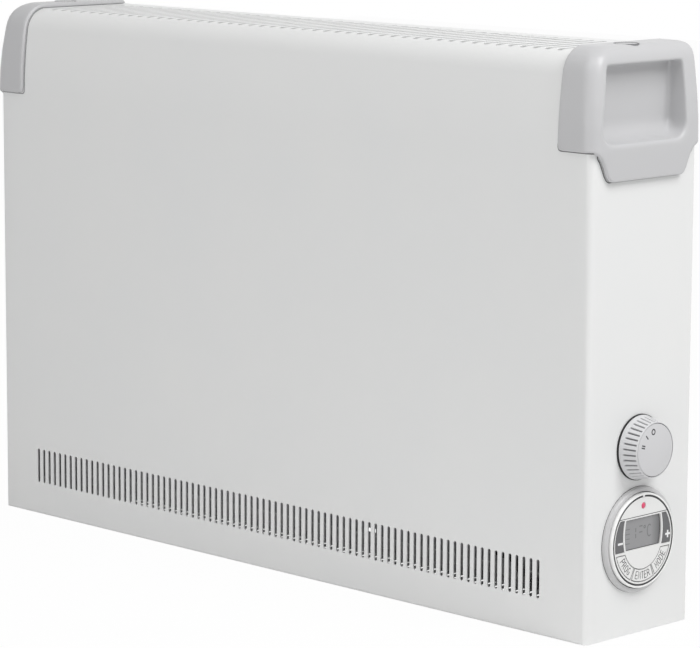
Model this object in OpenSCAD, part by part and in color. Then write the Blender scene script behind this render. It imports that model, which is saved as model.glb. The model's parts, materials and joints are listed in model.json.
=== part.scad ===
// Wall convector heater: a slotted steel case with moulded carrying ends, two finned elements,
// a rotary heat switch and a round timer, hooked on a steel wall bracket.
// The origin is the centre of the bracket's four wall screws, on the wall. +X runs along the case,
// +Y into the wall and +Z up.

/* [Case] */
// Length of the steel case
case_w = 666; // [560:1:760]
// Height of the steel case
case_h = 432; // [400:1:480]
// Depth of the steel case, front face to rear edge
case_d = 115; // [105:1:130]
// Thickness of the steel sheet
sheet_t = 1; // [0.8:0.1:1.4]
// Radius of the two upright front corners
corner_r = 6; // [4:0.5:10]
// Radius of the fold along the bottom of the front
fold_r = 2.5; // [2:0.5:4]
// Height of the upper stretch over which the front leans back
lean_h = 72; // [60:1:90]
// Radius of that slow curve
lean_r = 360; // [300:10:500]
// Radius of the bend from the front into the top
top_r = 20; // [14:1:26]
// Width of the flanges folded in round the bottom and the back
lip_w = 12; // [9:1:14]
// Free space between the case and the wall
wall_gap = 8; // [7:0.5:12]

/* [Front slots] */
// Width of an air slot in the front
slot_w = 3; // [2.4:0.1:3.6]
// Length of an air slot, round ends included
slot_h = 29.3; // [22:0.1:36]
// Distance between two air slots
slot_pitch = 7; // [6:0.5:9]
// Height of the slots' lower ends above the base
slot_low = 27.8; // [20:0.2:34]
// Plain sheet left at each end of the row
slot_margin = 45; // [42:1:60]

/* [Top grille] */
// Width of an outlet slot in the top
grille_slot_w = 5; // [4:0.5:6]
// Length of an outlet slot, front to back
grille_slot_l = 80; // [60:1:84]
// Distance between two outlet slots
grille_pitch = 12.1; // [10:0.1:16]
// Distance from the front face to the slots
grille_front = 18; // [16:1:24]
// Plain sheet left at each end of the grille
grille_margin = 48; // [46:1:70]

/* [Base tray and back panel] */
// Height of the tray's rear edge
tray_back_h = 10.5; // [8:0.5:11.5]
// Width of an intake slot in the tray
intake_w = 5.5; // [4:0.5:7]
// Length of an intake slot, front to back
intake_l = 62; // [40:1:70]
// Distance between two intake slots
intake_pitch = 10.48; // [9:0.01:14]
// Distance from the slots' rear ends to the case's rear edge
intake_back = 18; // [18:0.5:34]
// Plain tray left at each end of the row
intake_margin = 70.5; // [50:0.5:90]
// Width of the free slot low in the middle of the back panel
latch_slot_w = 14; // [8:1:20]
// Height of that slot
latch_slot_h = 3.3; // [2:0.1:5]
// Diameter of the screws' shanks
screw_d = 3.2; // [2.6:0.1:3.6]
// Diameter of the screws' heads
screw_head_d = 7; // [6:0.1:8]
// Height of the screws' heads
screw_head_h = 1.6; // [1.2:0.1:2.4]

/* [Carrying ends] */
// How far an end reaches over the case along its length
cap_overlap = 32; // [29:1:36]
// How far an end stands in front of the case
cap_front_proud = 3; // [2.4:0.1:4]
// How far an end stands out past the case's end
cap_end_proud = 4.5; // [4:0.1:6]
// How far an end stands above the case
cap_top_proud = 4; // [3.6:0.1:5]
// Height of the lower edge at the front and back
skirt_z = 361; // [356:1:366]
// Height of the tongue's lower edge on the end face
tongue_z = 339; // [330:1:348]
// Half width of the tongue along its lower edge
tongue_half = 38.5; // [34:0.5:42]
// How much wider the tongue is on each side at its root
tongue_flare = 11.5; // [8:0.5:14]
// Rounding from the end's front into its top
cap_front_r = 22; // [16:1:26]
// Rounding from the end face into the top
cap_end_r = 13; // [9:1:16]
// Rounding from the end's top into its back
cap_back_r = 6; // [4:1:8]
// Rounding of the upright corner at the front
cap_corner_r = 11; // [8:0.5:12]
// Rounding of the upright corner at the back
cap_back_corner_r = 1.5; // [1:0.5:4]
// Wall thickness of the moulding
cap_wall = 2.6; // [2.2:0.1:2.8]
// Depth of the hand grip
grip_depth = 18.5; // [15:0.5:19]
// Distance from the front face to the grip's rear edge
grip_back = 101; // [96:1:102]
// Distance from the front face to the grip's front edge, at its ceiling
grip_front = 17; // [15:0.5:19]
// Lean of that front edge, in degrees
grip_lean = 12; // [8:0.5:13]
// Height of the grip's ceiling
grip_top = 422.5; // [416:0.5:424]
// Height of the grip's floor at its mouth
grip_low = 366.5; // [362:0.5:370]
// Radius of the scoop from that floor into the back of the grip
grip_scoop_r = 14; // [10:0.5:16]
// Radius of the grip's two lower corners
grip_corner_r = 12; // [8:0.5:13]
// Diameter of the plug over each fixing screw
plug_d = 17.6; // [14:0.2:18]

/* [Heating] */
// Distance from the case's end to each element bracket
bracket_inset = 101; // [96:1:130]
// Distance from the case's end to the partition beside the controls
partition_inset = 41; // [40:1:46]
// Height of the lower element
element_low_z = 130; // [120:1:150]
// Distance between the two elements
element_gap = 62; // [60:1:70]
// Length of a fin from the middle of its element
fin_len = 27; // [20:1:27]
// Thickness of a fin
fin_t = 1.6; // [1.2:0.1:2]
// Length of fin between two cuts
fin_pitch = 24; // [20:1:40]
// Diameter of the sheathed heating rod
rod_d = 8.4; // [7:0.1:9]
// Distance from the front face to the heat shield
shield_gap = 22; // [18:1:26]
// Height of the heat shield's lower edge
shield_low = 92; // [86:1:96]
// Height of the heat shield's upper edge
shield_high = 300; // [240:1:310]

/* [Heat switch] */
// Height of the knob's middle above the base
knob_z = 140.4; // [138:0.2:150]
// Radius of the knob where it meets the case
knob_r = 24.2; // [20:0.1:24.6]
// Radius of the knob at its outer end
knob_top_r = 20.6; // [16:0.1:21]
// Height of the knob
knob_h = 16; // [13:0.5:18]
// Number of grip grooves round the knob
knob_grooves = 28; // [18:1:36]
// Diameter of the switch's shaft
shaft_d = 6; // [5:0.1:7]

/* [Timer] */
// Height of the timer's middle above the base
timer_z = 71.2; // [68:0.2:73]
// Outer radius of the timer's bezel
bezel_r = 39.7; // [38.5:0.1:40.5]
// Radius of the timer's face plate
face_r = 32.9; // [32:0.1:33.2]
// Height of the face plate above the case
face_h = 6; // [5.5:0.1:7]
// Thickness of the face plate
face_t = 1.4; // [1.2:0.1:1.8]
// Depth of the timer's housing behind the case's end
housing_depth = 26; // [22:0.5:30]
// Outer radius of that housing
housing_r = 30.4; // [29.6:0.1:30.8]
// Gap round each key
key_gap = 0.35; // [0.25:0.05:0.45]
// How far a key travels
key_travel = 0.6; // [0.4:0.1:0.8]

/* [Wall bracket] */
// Height of the middle of the four wall screws above the base
fix_z = 205; // [195:1:215]
// Distance between the wall screws along the wall
fix_dx = 408; // [360:2:430]
// Distance between the wall screws up the wall
fix_dz = 200; // [160:2:220]
// Diameter of the wall screws' holes
fix_hole_d = 5.5; // [4.5:0.1:6.5]
// Width of one leg of the bracket
leg_w = 44; // [40:1:52]
// Thickness of the bracket's steel
bracket_t = 1.5; // [1.2:0.1:2]

/* [Hidden] */
$fn = 96;

// Colours
white_paint = [0.93, 0.93, 0.93];
grey_moulding = [0.74, 0.74, 0.75];
bare_steel = [0.72, 0.73, 0.75];
dark_plastic = [0.13, 0.13, 0.14];

// Planes of the case, in Y from the wall
back_y = -wall_gap;
front_y = back_y - case_d;
mid_y = (front_y + back_y) / 2;
panel_y = back_y - sheet_t;
half_w = case_w / 2;
far = 2 * (case_w + case_h + case_d);

// Clearances
seat = 0.15;
part_gap = 0.3;
run_gap = 0.05;
screw_gap = 0.15;

// Outline of the case from the end
lean_z = case_h - lean_h;
bend_z = case_h - top_r;
bend_y = front_y + lean_r - sqrt(pow(lean_r - top_r, 2) - pow(bend_z - lean_z, 2));
function bend_start(inset) = lean_z + (bend_z - lean_z) * (lean_r - inset) / (lean_r - top_r);

// Corner of the case that the carrying end replaces, and the tab of the top that stays in it
notch_w = grip_depth + cap_wall + part_gap - cap_end_proud;
notch_z = grip_low - cap_wall - part_gap;
tab_w = 9;

// Carrying end
cap_x_in = half_w - cap_overlap;
cap_x_out = half_w + cap_end_proud;
cap_y_front = front_y - cap_front_proud;
cap_y_back = back_y;
cap_z_top = case_h + cap_top_proud;
cap_edge_r = cap_front_proud;
cap_rim = 3;
grip_top_r = 2.5;
grip_inner_r = 1.5;
slice_t = 0.1;
cap_lean_r = lean_r + cap_front_proud;
plug_x = half_w - 18.5;
plug_sink = 0.3;
plug_t = 0.9;
plug_wall = 1.6;
plug_floor_t = 0.7;
plug_skirt_t = 1.5;
cap_screw_l = 8;

// Heating
element_high_z = element_low_z + element_gap;
shield_y = front_y + shield_gap;
element_y = (shield_y + panel_y) / 2;
boss_r = rod_d / 2 + 2.4;
insulator_flange_t = 2;
insulator_flange_w = 3;
insulator_l = 8;
insulator_r = 8;
inner_sheet_t = 1.2;
inner_flange = 14;
bracket_x = half_w - bracket_inset;
bracket_low_z = element_low_z - 26;
bracket_high_z = element_high_z + 45;

// Controls
partition_x = half_w - partition_inset;
partition_high_z = 230;
collar_t = 1;
collar_rim = 0.5;
knob_low = collar_t + part_gap;
knob_wall = 2;
knob_lid = 2.4;
disc_t = 0.8;
disc_r = knob_top_r - 0.8;
bush_r = 4.5;
switch_w = 27;
switch_depth = 18;
timer_hole_r = housing_r + 0.5;
rim_r_out = bezel_r - 4;
rim_r_in = face_r + 0.8;
face_low = face_h - face_t;
key_low = face_low - 1.6;
key_stem_low = 1.9;
board_t = 1.6;
board_top = -0.4;
button_top = key_stem_low - key_travel - part_gap;
flange_low = 0.2;
key_room_r = face_r - 1.1;
housing_wall = 1.6;

// Keys on the timer's face
key_r_in = 22;
key_r_out = 30.5;
middle_key_angle = 23;
side_key_angle = 27.5;
side_key_top = -8.5;
display_half = 19.4;
display_bulge = 1.4;
display_low = -5.5;
display_high = 17.5;
display_side_r = 45;
sign_key_r = 31.2;
sign_key_side = display_half + 2;
lamp_r = 2.3;
lamp_v = 26.2;

// Wall bracket
leg_flange_w = 16;
leg_x = fix_dx / 2 - leg_w / 2 + leg_flange_w / 2;
leg_low_z = fix_z - fix_dz / 2 - 16;
leg_high_z = fix_z + fix_dz / 2 + 16;
leg_face_w = leg_w - 2 * leg_flange_w;
leg_face_y = back_y + part_gap;
strip_h = 30;
strip_drop = 10;
hook_w = 10;
hook_rise = 9;
upper_hook_z = leg_high_z - 14;
lower_hook_z = leg_low_z + 14;

// Moves a piece from the case's base to the height of the origin
module hung() {
    translate([0, 0, -fix_z]) children();
}

// Draws a shape of Y and Z and runs it along X
module along_x(length, centre_x = 0) {
    translate([centre_x, 0, 0])
        rotate([90, 0, 90])
            linear_extrude(length, center = true) children();
}

// Draws a shape of X and Z and runs it along Y, from y0 to y1
module along_y(y0, y1) {
    translate([0, y1, 0])
        rotate([90, 0, 0])
            linear_extrude(y1 - y0) children();
}

// A place on the right end face, with the shape's X towards the wall, Y up and Z outwards
module on_end(z) {
    translate([half_w, mid_y, z])
        rotate([90, 0, 90]) children();
}

module rounded_rect(w, h, r) {
    square([w - 2 * r, h], center = true);
    square([w, h - 2 * r], center = true);
    for (sx = [-1, 1], sy = [-1, 1])
        translate([sx * (w / 2 - r), sy * (h / 2 - r)]) circle(r);
}

// A slot with round ends, upright
module slot_shape(w, l) {
    square([w, l - w], center = true);
    for (s = [-1, 1])
        translate([0, s * (l - w) / 2]) circle(w / 2);
}

// Places in a centred row of even pitch between two margins
function row(length, pitch) =
    let (n = floor(length / pitch))
    [for (i = [0:n]) (i - n / 2) * pitch];

slot_xs = row(case_w - 2 * slot_margin, slot_pitch);
grille_xs = row(case_w - 2 * grille_margin, grille_pitch);
intake_xs = row(case_w - 2 * intake_margin, intake_pitch);
fin_xs = row(2 * bracket_x - 2 * fin_pitch, fin_pitch);

// The case seen from its end, moved in by inset at the front, top and bottom
module case_outline(inset, back) {
    depth = back - front_y - inset;
    translate([front_y + inset, fold_r]) square([depth, lean_z - fold_r]);
    translate([front_y + fold_r, inset]) square([back - front_y - fold_r, fold_r]);
    translate([front_y + fold_r, fold_r]) circle(fold_r - inset);
    intersection() {
        translate([front_y + lean_r, lean_z]) circle(lean_r - inset);
        translate([front_y, lean_z]) square([back - front_y, bend_start(inset) - lean_z]);
    }
    translate([bend_y, bend_z]) circle(top_r - inset);
    translate([bend_y, lean_z]) square([back - bend_y, case_h - inset - lean_z]);
}

// The case seen from above, with its round front corners
module case_plan(inset, back) {
    w = half_w - inset;
    translate([-w, front_y + corner_r]) square([2 * w, back - front_y - corner_r]);
    translate([-half_w + corner_r, front_y + inset])
        square([case_w - 2 * corner_r, back - front_y - inset]);
    for (s = [-1, 1])
        translate([s * (half_w - corner_r), front_y + corner_r]) circle(corner_r - inset);
}

module case_block(inset, back) {
    intersection() {
        along_x(2 * (half_w - inset)) case_outline(inset, back);
        translate([0, 0, inset]) linear_extrude(case_h - 2 * inset) case_plan(inset, back);
    }
}

// The upper corners that the carrying ends replace
module cap_notches(gap) {
    low = notch_z - gap;
    for (s = [-1, 1]) {
        translate([s * (half_w + far / 2 - notch_w - gap), mid_y, (low + case_h - sheet_t) / 2])
            cube([far, far, case_h - sheet_t - low], center = true);
        translate([s * (half_w + far / 2 - tab_w), mid_y, low + far / 2])
            cube(far, center = true);
    }
}

// A plain screw pointing along -Z, its head on z = 0
module screw(length) {
    cylinder(h = screw_head_h, d = screw_head_d);
    translate([0, 0, -length]) cylinder(h = length, d = screw_d);
}

// Places of the screws that hold the back panel
back_side_zs = [0.14, 0.46, 0.8] * case_h;
back_top_xs = [-250, -84, 84, 250] * case_w / 666;
back_screw_inset = sheet_t + lip_w / 2;
module at_back_screws() {
    for (s = [-1, 1], z = back_side_zs)
        translate([s * (half_w - back_screw_inset), back_y, z]) rotate([-90, 0, 0]) children();
    for (x = back_top_xs)
        translate([x, back_y, case_h - back_screw_inset]) rotate([-90, 0, 0]) children();
}

// Places of the screws that hold the base tray
tray_z = sheet_t;
tray_front = front_y + fold_r + part_gap;
base_screw_xs = [-0.36, 0, 0.36] * case_w;
base_screw_y = tray_front + sheet_t + screw_head_d / 2 + part_gap;
module at_base_screws() {
    for (x = base_screw_xs)
        translate([x, base_screw_y, tray_z + sheet_t]) children();
    for (s = [-1, 1])
        translate([s * (half_w - back_screw_inset), mid_y, tray_z + sheet_t]) children();
}

// The folded case before its slots and holes are cut
module case_shell() {
    difference() {
        case_block(0, back_y);
        case_block(sheet_t, back_y - 2 * sheet_t);
        // recess for the back panel, and the window inside its flanges
        translate([0, back_y, case_h / 2])
            cube([case_w - 2 * sheet_t, 2 * sheet_t, case_h - 2 * sheet_t], center = true);
        translate([0, back_y, (case_h - lip_w) / 2])
            cube([case_w - 2 * lip_w - 2 * sheet_t, 8 * sheet_t, case_h - lip_w - 2 * sheet_t],
                 center = true);
        // the rear flanges stop above the tray, and the bottom is open inside its flanges
        translate([0, back_y - lip_w / 2, 0])
            cube([case_w - 2 * sheet_t, 2 * lip_w, 2 * (tray_back_h + 2 * sheet_t)], center = true);
        translate([0, mid_y + lip_w, 0])
            cube([case_w - 2 * lip_w - 2 * sheet_t, case_d, 3 * sheet_t], center = true);
        cap_notches(0);
    }
}

// Where the end panels, with their rounded front edges and their flanges, meet the front sheet
seam_x = half_w - lip_w - 2 * sheet_t;
module end_panel_side() {
    translate([seam_x + far / 2, mid_y, notch_z + 1 - far / 2]) cube(far, center = true);
}

module case_screw_holes() {
    at_back_screws() cylinder(h = 8 * sheet_t, d = screw_d + 2 * screw_gap, center = true);
    at_base_screws() cylinder(h = 8 * sheet_t, d = screw_d + 2 * screw_gap, center = true);
}

// Front and top in one sheet, with the air slots and the outlet grille
module case_wrapper() {
    color(white_paint) hung()
        difference() {
            case_shell();
            end_panel_side();
            mirror([1, 0, 0]) end_panel_side();
            along_y(front_y - 1, front_y + 2 * sheet_t)
                for (x = slot_xs)
                    translate([x, slot_low + slot_h / 2]) slot_shape(slot_w, slot_h);
            translate([0, 0, bend_z])
                linear_extrude(top_r + 1)
                    for (x = grille_xs)
                        translate([x, front_y + grille_front + grille_slot_l / 2])
                            slot_shape(grille_slot_w, grille_slot_l);
            case_screw_holes();
            at_cap_screws() cylinder(h = far, d = screw_d + 2 * screw_gap, center = true);
        }
}

// An end panel, welded to the front sheet with a flush seam
module end_panel() {
    difference() {
        intersection() {
            case_shell();
            end_panel_side();
        }
        case_screw_holes();
    }
}

module left_end_panel() {
    color(white_paint) hung() mirror([1, 0, 0]) end_panel();
}

module right_end_panel() {
    color(white_paint) hung()
        difference() {
            end_panel();
            on_end(knob_z) cylinder(h = 6 * sheet_t, r = bush_r + part_gap, center = true);
            on_end(timer_z) cylinder(h = 6 * sheet_t, r = timer_hole_r, center = true);
        }
}

// Grommet that the mains lead enters through, in the tray's rear right corner
entry_x = half_w - 143;
entry_y = back_y - 9.4;
entry_hole_r = 6.3;
entry_flange_r = 8;
entry_bore_r = 3.1;
entry_rise = 1.4;

module base_tray() {
    tray_w = case_w - 2 * sheet_t - 2 * part_gap;
    color(white_paint) hung()
        difference() {
            union() {
                translate([-tray_w / 2, tray_front, tray_z])
                    cube([tray_w, back_y - tray_front, sheet_t]);
                translate([-tray_w / 2, panel_y, tray_z])
                    cube([tray_w, sheet_t, tray_back_h - tray_z]);
                translate([-tray_w / 2 + corner_r, tray_front, tray_z])
                    cube([tray_w - 2 * corner_r, sheet_t, tray_back_h - tray_z]);
            }
            translate([0, back_y - intake_back - intake_l / 2, tray_z - 1])
                linear_extrude(sheet_t + 2)
                    for (x = intake_xs)
                        translate([x, 0]) slot_shape(intake_w, intake_l);
            translate([entry_x, entry_y, 0]) cylinder(h = 4 * sheet_t, r = entry_hole_r + seat);
            at_base_screws() cylinder(h = 4 * sheet_t, d = screw_d + 2 * screw_gap, center = true);
            // the tray's front corners clear the round corners of the case
            for (s = [-1, 1])
                translate([s * half_w, tray_front, tray_z])
                    rotate([0, 0, 45]) cube([corner_r, corner_r, 4 * sheet_t], center = true);
        }
}

latch_slot_z = tray_back_h + part_gap + 2.4 + latch_slot_h / 2;

module back_panel() {
    panel_w = case_w - 2 * sheet_t - 2 * part_gap;
    low = tray_back_h + part_gap;
    high = case_h - sheet_t - part_gap;
    color(bare_steel) hung()
        difference() {
            translate([-panel_w / 2, panel_y, low]) cube([panel_w, sheet_t, high - low]);
            cap_notches(part_gap);
            along_y(panel_y - 1, back_y + 1) {
                translate([0, latch_slot_z]) square([latch_slot_w, latch_slot_h], center = true);
                for (s = [-1, 1], z = [upper_hook_z, lower_hook_z])
                    translate([s * leg_x, z - hook_rise / 2 - 1])
                        square([hook_w + 3, hook_rise + 2], center = true);
            }
            at_back_screws() cylinder(h = 4 * sheet_t, d = screw_d + 2 * screw_gap, center = true);
            at_panel_screws() cylinder(h = 4 * sheet_t, d = screw_d + 2 * screw_gap, center = true);
        }
}

module back_screws() {
    color(bare_steel) hung() at_back_screws() screw(lip_w / 2);
}

module base_screws() {
    color(bare_steel) hung() at_base_screws() screw(1.8 * sheet_t);
}

// One-piece steel frame: two raised legs with hooks and a cross strip flat on the wall
module wall_bracket() {
    leg_h = leg_high_z - leg_low_z;
    color(bare_steel) hung()
        difference() {
            union() {
                for (s = [-1, 1])
                    translate([s * leg_x, 0, 0]) {
                        for (side = [-1, 1]) {
                            translate([side * (leg_w - leg_flange_w) / 2 - leg_flange_w / 2, -bracket_t,
                                       leg_low_z])
                                cube([leg_flange_w, bracket_t, leg_h]);
                            translate([side * (leg_face_w - bracket_t) / 2 - bracket_t / 2,
                                       leg_face_y, leg_low_z])
                                cube([bracket_t, -leg_face_y, leg_h]);
                        }
                        translate([-leg_face_w / 2, leg_face_y, leg_low_z])
                            cube([leg_face_w, bracket_t, leg_h]);
                        for (z = [upper_hook_z, lower_hook_z])
                            translate([-hook_w / 2, 0, z]) bracket_hook();
                    }
                translate([-leg_x, -bracket_t, leg_high_z - strip_drop - strip_h])
                    cube([2 * leg_x, bracket_t, strip_h]);
            }
            for (sx = [-1, 1], sz = [-1, 1])
                translate([sx * fix_dx / 2, 0, fix_z + sz * fix_dz / 2])
                    rotate([90, 0, 0]) cylinder(h = 4 * bracket_t, d = fix_hole_d, center = true);
            // inside of the raised legs
            for (s = [-1, 1])
                translate([s * leg_x, leg_face_y + bracket_t + far / 2, fix_z])
                    cube([leg_face_w - 2 * bracket_t, far, far], center = true);
        }
}

// A hook that passes through the back panel and turns up behind it, its top at z = 0
module bracket_hook() {
    reach = leg_face_y - panel_y + part_gap;
    translate([0, panel_y - part_gap - bracket_t, -bracket_t])
        cube([hook_w, reach + 2 * bracket_t, bracket_t]);
    translate([0, panel_y - part_gap - bracket_t, -bracket_t])
        cube([hook_w, bracket_t, hook_rise]);
}

// How far a leaning face has come in at height z, for a rounding r into the top
function lean_in(z, r, inset) =
    let (
        big = cap_lean_r - inset,
        small = r - inset,
        zc = cap_z_top - r,
        centre = big - sqrt(pow(big - small, 2) - pow(zc - lean_z, 2)),
        start = lean_z + (zc - lean_z) * big / (big - small)
    )
    z <= lean_z ? 0
    : z <= start ? big - sqrt(big * big - pow(z - lean_z, 2))
    : centre - sqrt(max(0, small * small - pow(z - zc, 2)));

// The same for the upright back
function round_in(z, r, inset) =
    let (small = r - inset, zc = cap_z_top - r)
    z <= zc ? 0 : small - sqrt(max(0, small * small - pow(z - zc, 2)));

// Right carrying end as a solid dome, moved in by inset
module cap_dome(inset, x_in, z_low) {
    top = cap_z_top - inset;
    bend_steps = [0, 15, 30, 45, 60, 74];
    heights = concat([lean_z, lean_z + 20, lean_z + 36],
                     [for (a = bend_steps) cap_z_top - cap_front_r + (cap_front_r - inset) * sin(a)]);
    zs = concat([z_low], [for (z = heights) if (z > z_low + slice_t) z], [top - slice_t]);
    edge = max(1, cap_edge_r - inset);
    back_corner = max(1, cap_back_corner_r - inset);
    hull()
        for (z = zs) {
            x_out = cap_x_out - inset - lean_in(z, cap_end_r, inset);
            y_front = cap_y_front + inset + lean_in(z, cap_front_r, inset);
            y_back = cap_y_back - inset - round_in(z, cap_back_r, inset);
            corner = min(cap_corner_r - inset, (x_out - x_in) / 2);
            translate([x_out - corner, y_front + corner, z])
                cylinder(h = slice_t, r = corner, $fn = 32);
            translate([x_out - back_corner, y_back - back_corner, z])
                cylinder(h = slice_t, r = back_corner, $fn = 16);
            translate([x_in + edge, y_front + edge, z])
                cylinder(h = slice_t, r = edge, $fn = 16);
            translate([x_in, y_back - 1, z]) cube([1, 1, slice_t]);
        }
}

// Everything under the lower edge of a carrying end, seen from the end
// The tongue's corners and the hollow above them are eased by two short chords each
module under_cap_edge() {
    half = tongue_half;
    wide = tongue_half + tongue_flare;
    low = tongue_z - 20;
    side = [[half, tongue_z], [half + 2.6, tongue_z + 1.4], [half + 5, tongue_z + 4.6],
            [wide - 1.5, skirt_z - 7], [wide + 2, skirt_z - 2.6],
            [wide + 6.5, skirt_z], [case_d, skirt_z], [case_d, low]];
    translate([mid_y, 0])
        polygon(concat(side, [for (i = [len(side) - 1:-1:0]) [-side[i][0], side[i][1]]]));
}

// Place of a rounding of radius r at height z that touches the grip's leaning front edge
function grip_edge_y(r, z) = front_y + grip_front + (r + sin(grip_lean) * (z - grip_top)) / cos(grip_lean);

// The four corners of one upright slice of the grip, seen from the end and grown by a wall
module grip_corners(floor_z, r, grow) {
    low = floor_z + r;
    high = grip_top - grip_top_r;
    back = front_y + grip_back;
    translate([grip_edge_y(r, low), low]) circle(r + grow, $fn = 48);
    translate([back - r, low]) circle(r + grow, $fn = 48);
    translate([back - grip_top_r, high]) circle(grip_top_r + grow, $fn = 24);
    translate([grip_edge_y(grip_top_r, high), high]) circle(grip_top_r + grow, $fn = 24);
}

// Space of the hand grip: its floor scoops up into its back, and the corners sharpen as they go in
module grip_space(grow, drop) {
    scoop = grip_scoop_r + grow;
    x_in = cap_x_out - grip_depth - grow;
    hull() {
        for (a = [0:15:90])
            along_x(slice_t, x_in + scoop * (1 - cos(a)) + slice_t / 2)
                grip_corners(grip_low - drop + grip_scoop_r * (1 - sin(a)),
                             grip_inner_r + (grip_corner_r - grip_inner_r) * sin(a), grow);
        along_x(2, cap_x_out) grip_corners(grip_low - drop, grip_corner_r, grow);
    }
}

module at_cap_screws() {
    for (s = [-1, 1])
        translate([s * plug_x, mid_y, 0]) children();
}

plug_floor_z = case_h + seat + plug_floor_t;

module right_cap_shape() {
    difference() {
        cap_dome(0, cap_x_in, tongue_z - 5);
        difference() {
            cap_dome(cap_wall, cap_x_in + cap_rim, notch_z - slice_t);
            // walls of the hand grip and the boss under the plug stay solid
            grip_space(cap_wall, 1);
            translate([plug_x, mid_y, case_h]) cylinder(h = far, r = plug_d / 2 + plug_wall);
        }
        // the case under the moulding, and the tab of its top
        along_x(case_w - 2 * notch_w) case_outline(-seat, back_y + 1);
        along_x(case_w - 2 * tab_w + 2 * seat)
            intersection() {
                case_outline(-seat, back_y + 1);
                translate([front_y, case_h - sheet_t - seat]) square([case_d + 1, 2 * sheet_t]);
            }
        along_x(case_w + 2 * seat)
            translate([front_y - seat, 0]) square([case_d + 1 + seat, notch_z]);
        along_x(far) under_cap_edge();
        grip_space(0, 0);
        translate([plug_x, mid_y, plug_floor_z]) cylinder(h = far, r = plug_d / 2 + seat);
        translate([plug_x, mid_y, case_h]) cylinder(h = far, d = screw_d + 2 * screw_gap);
    }
}

module right_end_cap() {
    color(grey_moulding) hung() right_cap_shape();
}

module left_end_cap() {
    color(grey_moulding) hung() mirror([1, 0, 0]) right_cap_shape();
}

module cap_screws() {
    color(bare_steel) hung()
        at_cap_screws() translate([0, 0, plug_floor_z]) screw(cap_screw_l);
}

module cap_plugs() {
    plug_top = cap_z_top - plug_sink;
    color(grey_moulding) hung()
        at_cap_screws() {
            translate([0, 0, plug_top - plug_t]) cylinder(h = plug_t, d = plug_d);
            translate([0, 0, plug_floor_z])
                difference() {
                    cylinder(h = plug_top - plug_t - plug_floor_z, d = plug_d);
                    translate([0, 0, -1]) cylinder(h = far, d = plug_d - 2 * plug_skirt_t);
                }
        }
}

// Aluminised sheet that keeps the heat off the front, its upper edge turned back
module heat_shield() {
    t = inner_sheet_t;
    turn = inner_flange;
    color(bare_steel) hung()
        difference() {
            along_x(2 * bracket_x + 2 * inner_flange)
                polygon([[shield_y, shield_low], [shield_y + t, shield_low],
                         [shield_y + t, shield_high - turn], [shield_y + turn + t, shield_high],
                         [shield_y + turn, shield_high + t], [shield_y, shield_high - turn + t]]);
            at_shield_screws() cylinder(h = far / 10, d = screw_d + 2 * screw_gap, center = true);
        }
}

shield_screw_zs = [bracket_low_z + 14, bracket_high_z - 14];
module at_shield_screws() {
    for (s = [-1, 1], z = shield_screw_zs)
        translate([s * (bracket_x + inner_flange / 2), shield_y, z]) rotate([90, 0, 0]) children();
}

module at_panel_screws() {
    for (s = [-1, 1], z = shield_screw_zs)
        translate([s * (bracket_x + inner_flange / 2), back_y, z]) rotate([-90, 0, 0]) children();
}

// Channel of sheet steel between the back panel and the heat shield
module element_bracket() {
    t = inner_sheet_t;
    y0 = shield_y + inner_sheet_t;
    difference() {
        union() {
            translate([bracket_x, y0, bracket_low_z])
                cube([t, panel_y - y0, bracket_high_z - bracket_low_z]);
            for (y = [y0, panel_y - t])
                translate([bracket_x, y, bracket_low_z])
                    cube([inner_flange, t, bracket_high_z - bracket_low_z]);
        }
        for (z = [element_low_z, element_high_z])
            translate([bracket_x, element_y, z])
                rotate([0, 90, 0]) cylinder(h = 8 * t, r = insulator_r + seat, center = true);
        at_shield_screws() cylinder(h = 8 * t, d = screw_d + 2 * screw_gap, center = true);
        at_panel_screws() cylinder(h = 8 * t, d = screw_d + 2 * screw_gap, center = true);
    }
}

module right_element_bracket() {
    color(bare_steel) hung() element_bracket();
}

module left_element_bracket() {
    color(bare_steel) hung() mirror([1, 0, 0]) element_bracket();
}

// Extruded aluminium body: a tube with four wings, the wings cut into short lengths
module finned_body(z) {
    length = 2 * (bracket_x - insulator_flange_t - part_gap);
    cut = 2;
    translate([0, element_y, z])
        difference() {
            union() {
                along_x(length) circle(boss_r);
                for (x = fin_xs)
                    along_x(fin_pitch - cut, x)
                        for (a = [-1, 1], b = [0, 180])
                            rotate([0, 0, 90 + a * 24 + b])
                                translate([0, -fin_t / 2]) square([fin_len, fin_t]);
            }
            along_x(length + 2) circle(rod_d / 2 + run_gap);
        }
}

module lower_element() {
    color([0.8, 0.81, 0.82]) hung() finned_body(element_low_z);
}

module upper_element() {
    color([0.8, 0.81, 0.82]) hung() finned_body(element_high_z);
}

rod_half = bracket_x + insulator_l + 6;
pin_half = rod_half + 12;
pin_r = 1.6;

// Sheathed rods with a terminal pin at each end
module heating_rods() {
    color([0.35, 0.34, 0.33]) hung()
        for (z = [element_low_z, element_high_z])
            translate([0, element_y, z]) {
                along_x(2 * rod_half) circle(rod_d / 2);
                along_x(2 * pin_half) circle(pin_r);
            }
}

// Ceramic collars that carry the rods in the brackets
module rod_insulators() {
    color([0.9, 0.88, 0.82]) hung()
        for (s = [-1, 1], z = [element_low_z, element_high_z])
            translate([s * bracket_x, element_y, z])
                rotate([0, 90 * s, 0])
                    difference() {
                        union() {
                            cylinder(h = insulator_l, r = insulator_r);
                            translate([0, 0, -insulator_flange_t])
                                cylinder(h = insulator_flange_t, r = insulator_r + insulator_flange_w);
                        }
                        cylinder(h = 4 * insulator_l, r = rod_d / 2 + run_gap, center = true);
                    }
}

module element_screws() {
    color(bare_steel) hung() {
        at_shield_screws() screw(4);
        at_panel_screws() screw(4);
    }
}

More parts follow.
